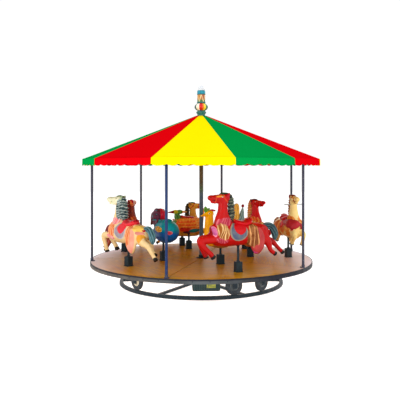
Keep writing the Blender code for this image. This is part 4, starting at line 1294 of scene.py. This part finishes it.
def ruffled_bird(ride):
    """A ruffled bird with a slim neck and a tail that curls back to a pointed tip."""
    neck = spine((190, 170, 50, 60), (225, 280, 32, 34), (235, 370, 30, 32), (240, 410, 16, 18))
    head = spine((205, 385, 20, 22), (230, 388, 34, 32), (258, 384, 30, 28), (280, 378, 16, 16))
    beak = spine((262, 382, 20, 16), (285, 376, 12, 10), (304, 371, 4, 4))
    stem = spine((-140, 200, 60, 60), (-195, 280, 46, 48), (-200, 345, 30, 32))
    tip = spine((-256, 360, 30, 26), (-300, 357, 22, 18), (-362, 352, 5, 6))
    plume = spine((-185, 354, 34, 32), (-230, 360, 36, 32), (-262, 360, 30, 26))
    hood = spine((-192, 354, 36, 34), (-150, 360, 38, 34), (-115, 358, 28, 26))
    bill = spine((-120, 358, 28, 24), (-80, 360, 20, 16), (-35, 356, 6, 6))
    bird(ride, [BIRD_TORSO, neck, head, WING, mirrored(WING)], (
        ("beak", [beak], None), ("stem", [stem, hood], strands(6, 1.5)), ("plume", [plume], strands(6, 1.5)),
        ("tip", [tip], None), ("bill", [bill], None),
    ), (0.245, 0.395, 0.010))
    ride.raised("wings", oval(-45, 190, 175, 100, -6.0, frill=0.03), 0.016, feathered(0.050), "wing",
                depth=0.012)
    ride.raised("breast", oval(150, 170, 75, 95), 0.010, feathered(0.040), depth=0.008)
    ride.raised("underside", oval(90, 45, 120, 40), 0.005, key="under")


# Dark and light pairs: for most, one colour's painted shade and painted light; mane and tail pairs also give
# their pale streaks, and crescent and rosette pairs a field and its pale rim.
HORSE_COLOURS = dict(
    hoof="101010 2c2420", mane="222c28 96987c", tail="0e242a 4a686c", forelock="182e22 3e543c",
    ear="960e22 c41628", ruffle="b02840 e07078", crescent="465270 968c74", saddle="b40610 ce0e16",
    trim="c42818 e05c28", skirt="9c282c c04642", fringe="783c14 e8a668", wing="96541e face8c",
    rosette="be548e ec8ca0", bridle="b02818 d0461e", blaze="de6e18 f0a03c",
)

# Each ride's name, shape, bearing, distance from the axis, yaw, belly height, size and look. A paint is a
# dark and a light colour: for most, one colour in painted shade and painted light; for a few, two colours of
# a pattern.
RIDES = (
    ("red_horse", horse, 23.0, 1.2375, 0.0, 0.700, 1.00, dict(
        HORSE_COLOURS, coat="96060a c4100e",
        marks=(
            ("skirt_hem", (-200, -66, 52, 36), "b83278 cc4c82"),
        ),
    )),
    ("cream_pony", horse, 93.2, 1.328, 10.0, 0.660, 0.94, dict(
        HORSE_COLOURS, gaze=-2.0, far_side_leads=True, reach=0.7, handle=True, coat="e4b662 fce298",
        hoof="54544c 8c8e84", mane="783214 d88c40", tail="8c5422 c4803e", ear="6e1814 96281e",
        forelock="6e1814 a04628", ruffle="de6818 f4a846", crescent="ce5418 f0963c", wing="d26014 fabe5a",
        skirt="ce5a1e ee9650", fringe="c85014 fabe64", rosette="961824 be2c32", bridle="822814 b0461e",
        chest_band="961824 be2c32",
    )),
    ("crimson_horse", horse, 142.0, 1.200, 0.0, 0.570, 0.90, dict(
        HORSE_COLOURS, reach=0.7, coat="be080e de1416", mane="d67832 fad696", ear="6e0e14 96181e",
        forelock="3c1814 6e281e", crescent="dc5a14 f8aa3c", ruffle="e24610 fcaa46", wing="dc5010 fcbe5a",
        saddle="e25410 fa8c28", trim="e67818 fcc85a", skirt="d64614 f08232", fringe="be501a fcce82",
        rosette="d6982c fcde3c", blaze="be1e18 d23c1e",
    )),
    ("golden_horse", horse, -166.0, 1.380, 0.0, 0.510, 0.86, dict(
        HORSE_COLOURS, coat="ba761e e8aa38", mane="2e2618 604c28", ear="784614 b06e28",
        crescent="1a6064 148c8c", skirt="3c823c 78aa3c", wing="3c823c 78aa3c", rosette="d61618 f0828c",
        blaze="d68c1e f0b43c", ruffle="ce6e1e f0b450",
    )),
    ("brown_horse", horse, -117.0, 1.388, 0.0, 0.590, 0.86, dict(
        HORSE_COLOURS, footrest=True, gaze=15.0, mask="ce541e f08c46", coat="6e221c a6422c",
        hoof="2c2420 784838", mane="60141a 963232", tail="5c1c2c 963c3c", ear="a00a24 c41428",
        crescent="c43214 ee7418", ruffle="c43c18 ec8c3c", forelock="aa0e28 d61618", skirt="5c1c2c aa4650",
        wing="c85014 f8b882", blaze="dc641e f4a046",
    )),
    ("cream_horse", horse, -55.0, 1.2305, 9.0, 0.663, 0.953, dict(
        HORSE_COLOURS, gaze=18.0, far_side_leads=True, mane_width=1.6, mane_fall=True,
        coat="cc9e5c f0d49e", mane="16363a cedcd4", tail="103840 608c96", ear="78966e ced6b0",
        forelock="285428 6e8c5a", crescent="8c7c86 beb8bc", saddle="ce1628 e83c42", trim="960e22 c41e2c",
        ruffle="e27878 f8c4be", skirt="e88268 f8b096", fringe="d66028 f8be82", wing="d6602c f8b882",
        rosette="6e141e 96282c", bridle="8ca06e c8cca0", blaze="cece96 ece8c4", mask="d6cea0 f0ecce",
        marks=(
            ("rump", (-325, 255, 112, 56, 10.0), "e8b046 f8d46e"),
            ("rump_band", (-372, 188, 70, 26, 8.0), "ce786e e29682"),
            ("croup", (-400, 120, 48, 68), "d68824 f0ac3c"),
            ("dock", (-420, 236, 20, 34), "aa1428 c82832"),
        ),
    )),
    ("yellow_rooster", rooster, 27.0, 0.600, 0.0, 0.580, 1.00, dict(
        coat="f48c00 febe04", wing="e0820a fcc832", under="78421e c4803e", seat="aa5a14 d6982c",
        beak="e6961e fab20c", crest="468228 78aa3c", comb="aa0e28 d61618", plume="ce821e f0be50",
        stem="506e64 96a8a4", ball="780a10 aa0e28",
    )),
    ("peach_bird", round_bird, 99.0, 0.760, 0.0, 0.500, 0.90, dict(
        coat="e26e1e f6aa5a", cowl="e67828 fcc882", seat="780a10 d61618", beak="be6e1e d6982c",
        comb="aa0e28 d61618",
        marks=(
            ("wings", (-60, 190, 170, 90), "e06018 fccc8c", 0.0, thin(0.045, 0.012, 16.0)),
        ),
    )),
    ("orange_bird", ruffled_bird, -167.6, 0.970, 0.0, 0.613, 1.00, dict(
        coat="e8540e fa8c28", wing="ec4c0a fc9e3c", breast="e25410 fcb45a", under="145460 148c8c",
        seat="780a10 d61618", beak="d6982c fab20c", plume="aab014 fcde3c", stem="326e32 78aa3c",
        tip="780a10 aa0e28", bill="d6982c f8b882",
        marks=(
            ("rear", (-300, 200, 80, 85), "3c823c 96963c"),
            ("flank", (-80, 78, 95, 44), "b01414 de321e", 0.0, feathered(0.05)),
            ("belly", (-46, 18, 66, 30), "50142c 5c1c2c"),
        ),
    )),
    ("blue_bird", round_bird, -66.7, 0.605, 0.0, 0.626, 1.05, dict(
        split=0.175, gaze=20.0, hinge=0.100, coat="0458a6 0292a0", cowl="421628 743850",
        seat="046e78 068c90", beak="3c1818 602c1e", comb="aa0e28 ce142c",
        marks=(
            ("garland", (54, 200, 60, 42), "be6e14 f0be3c", 66.7, ruffled(6)),
            ("lens", (-101, 163, 50, 28), "c4142c dc6e78", 66.7, bordered(0.3)),
        ),
    )),
)


def animals(iron):
    shared = {
        "dark": enamel("dark_gloss", "101010", "281816", 0.2, 0.2),
        "white": enamel("eye_white", "fcf4de", "fffcf4", 0.2, 0.1),
        "chrome": steel_paint("bright_steel", "b0b2b4", "6e6e6c", 0.25, 0.9),
        "iron": iron,
    }
    for name, shape, *rest in RIDES:
        shape(Ride(name, *rest, shared))


# Stage

def lamp(name, place, power, size, aim=None, shape="SQUARE"):
    made = bpy.data.objects.new(name, bpy.data.lights.new(name, "AREA"))
    bpy.context.collection.objects.link(made)
    made.data.shape = shape
    made.data.size = size
    made.data.energy = power
    made.location = place
    if aim:
        made.rotation_euler = (Vector(aim) - Vector(place)).to_track_quat("-Z", "Y").to_euler()


def stage():
    """The camera, a white room, a pale floor and four lamps."""
    scene = bpy.context.scene
    scene.view_settings.view_transform = "Standard"
    camera = bpy.data.objects.new("camera", bpy.data.cameras.new("camera"))
    bpy.context.collection.objects.link(camera)
    camera.location = EYE
    camera.rotation_euler = (math.radians(90.0), 0.0, 0.0)
    camera.data.lens = camera.data.sensor_width * FOCAL_PIXELS / FRAME_PIXELS
    camera.data.shift_x = (FRAME_PIXELS / 2 - CENTRE_PIXEL) / FRAME_PIXELS
    camera.data.shift_y = (HORIZON_PIXEL - FRAME_PIXELS / 2) / FRAME_PIXELS
    scene.camera = camera

    scene.world = bpy.data.worlds.new("studio")
    scene.world.use_nodes = True
    back = scene.world.node_tree.nodes["Background"]
    back.inputs[0].default_value = (1.0, 1.0, 1.0, 1.0)
    back.inputs[1].default_value = 1.04

    bm = bmesh.new()
    bmesh.ops.create_grid(bm, x_segments=1, y_segments=1, size=30.0)
    paint = Paint("pale_floor")
    paint.preset("Base Color", (0.95, 0.95, 0.95, 1.0))
    paint.preset("Roughness", 0.9)
    paint.preset("Emission Color", (1.0, 1.0, 1.0, 1.0))
    paint.preset("Emission Strength", 0.22)
    floor = made_from(bm, "floor", paint.material, smooth=False)
    floor.location.z = -0.001

    middle = (0.0, 0.0, 1.1)
    lamp("key", (-4.5, -8.0, 2.6), 190.0, 4.0, middle)
    lamp("fill", (5.5, -7.0, 2.4), 90.0, 5.0, middle)
    lamp("back", (2.0, 7.5, 4.5), 70.0, 5.0, middle)
    lamp("under_deck", (0.0, 0.0, 0.272), 30.0, 3.1, shape="DISK")


def dress_frame():
    """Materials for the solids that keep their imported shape, and the fixings on them."""
    slate = steel_paint("slate_paint", "1a262e", "323a3e", 0.55, 0.0)
    dark = steel_paint("dark_paint", "1e2428", "565450", 0.45)
    post_blue = steel_paint("post_blue", "182e5a", "465274", 0.35)
    post_paint = steel_paint("post_slate", "3a3a4a", "686870", 0.4)
    column = column_paint("column_paint_worn")
    green = enamel("motor_green", "223234", "3e5050", 0.4)
    iron = steel_paint("socket_iron", "1a282e", "404a4e", 0.5)
    brass = enamel("plate_brass", "606e3c", "beb43c", 0.35, 1.0)
    rim = rim_paint("rim_slate")
    own = {"rim_band": rim, "centre_column": column, "motor_box": green, FRONT_POST: post_blue}
    for name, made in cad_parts.items():
        kind = iron if name.endswith("_mount") else post_paint if name.startswith("post_") else slate
        for slot in made.material_slots:
            slot.material = own.get(name, kind)
    ironwork(dark, slate, post_paint)
    sockets(iron)
    running_gear(slate)
    motor(green, brass)
    return iron


stage()
iron_paint = dress_frame()
deck_boards()
canopy_cloth()
finial()
animals(iron_paint)
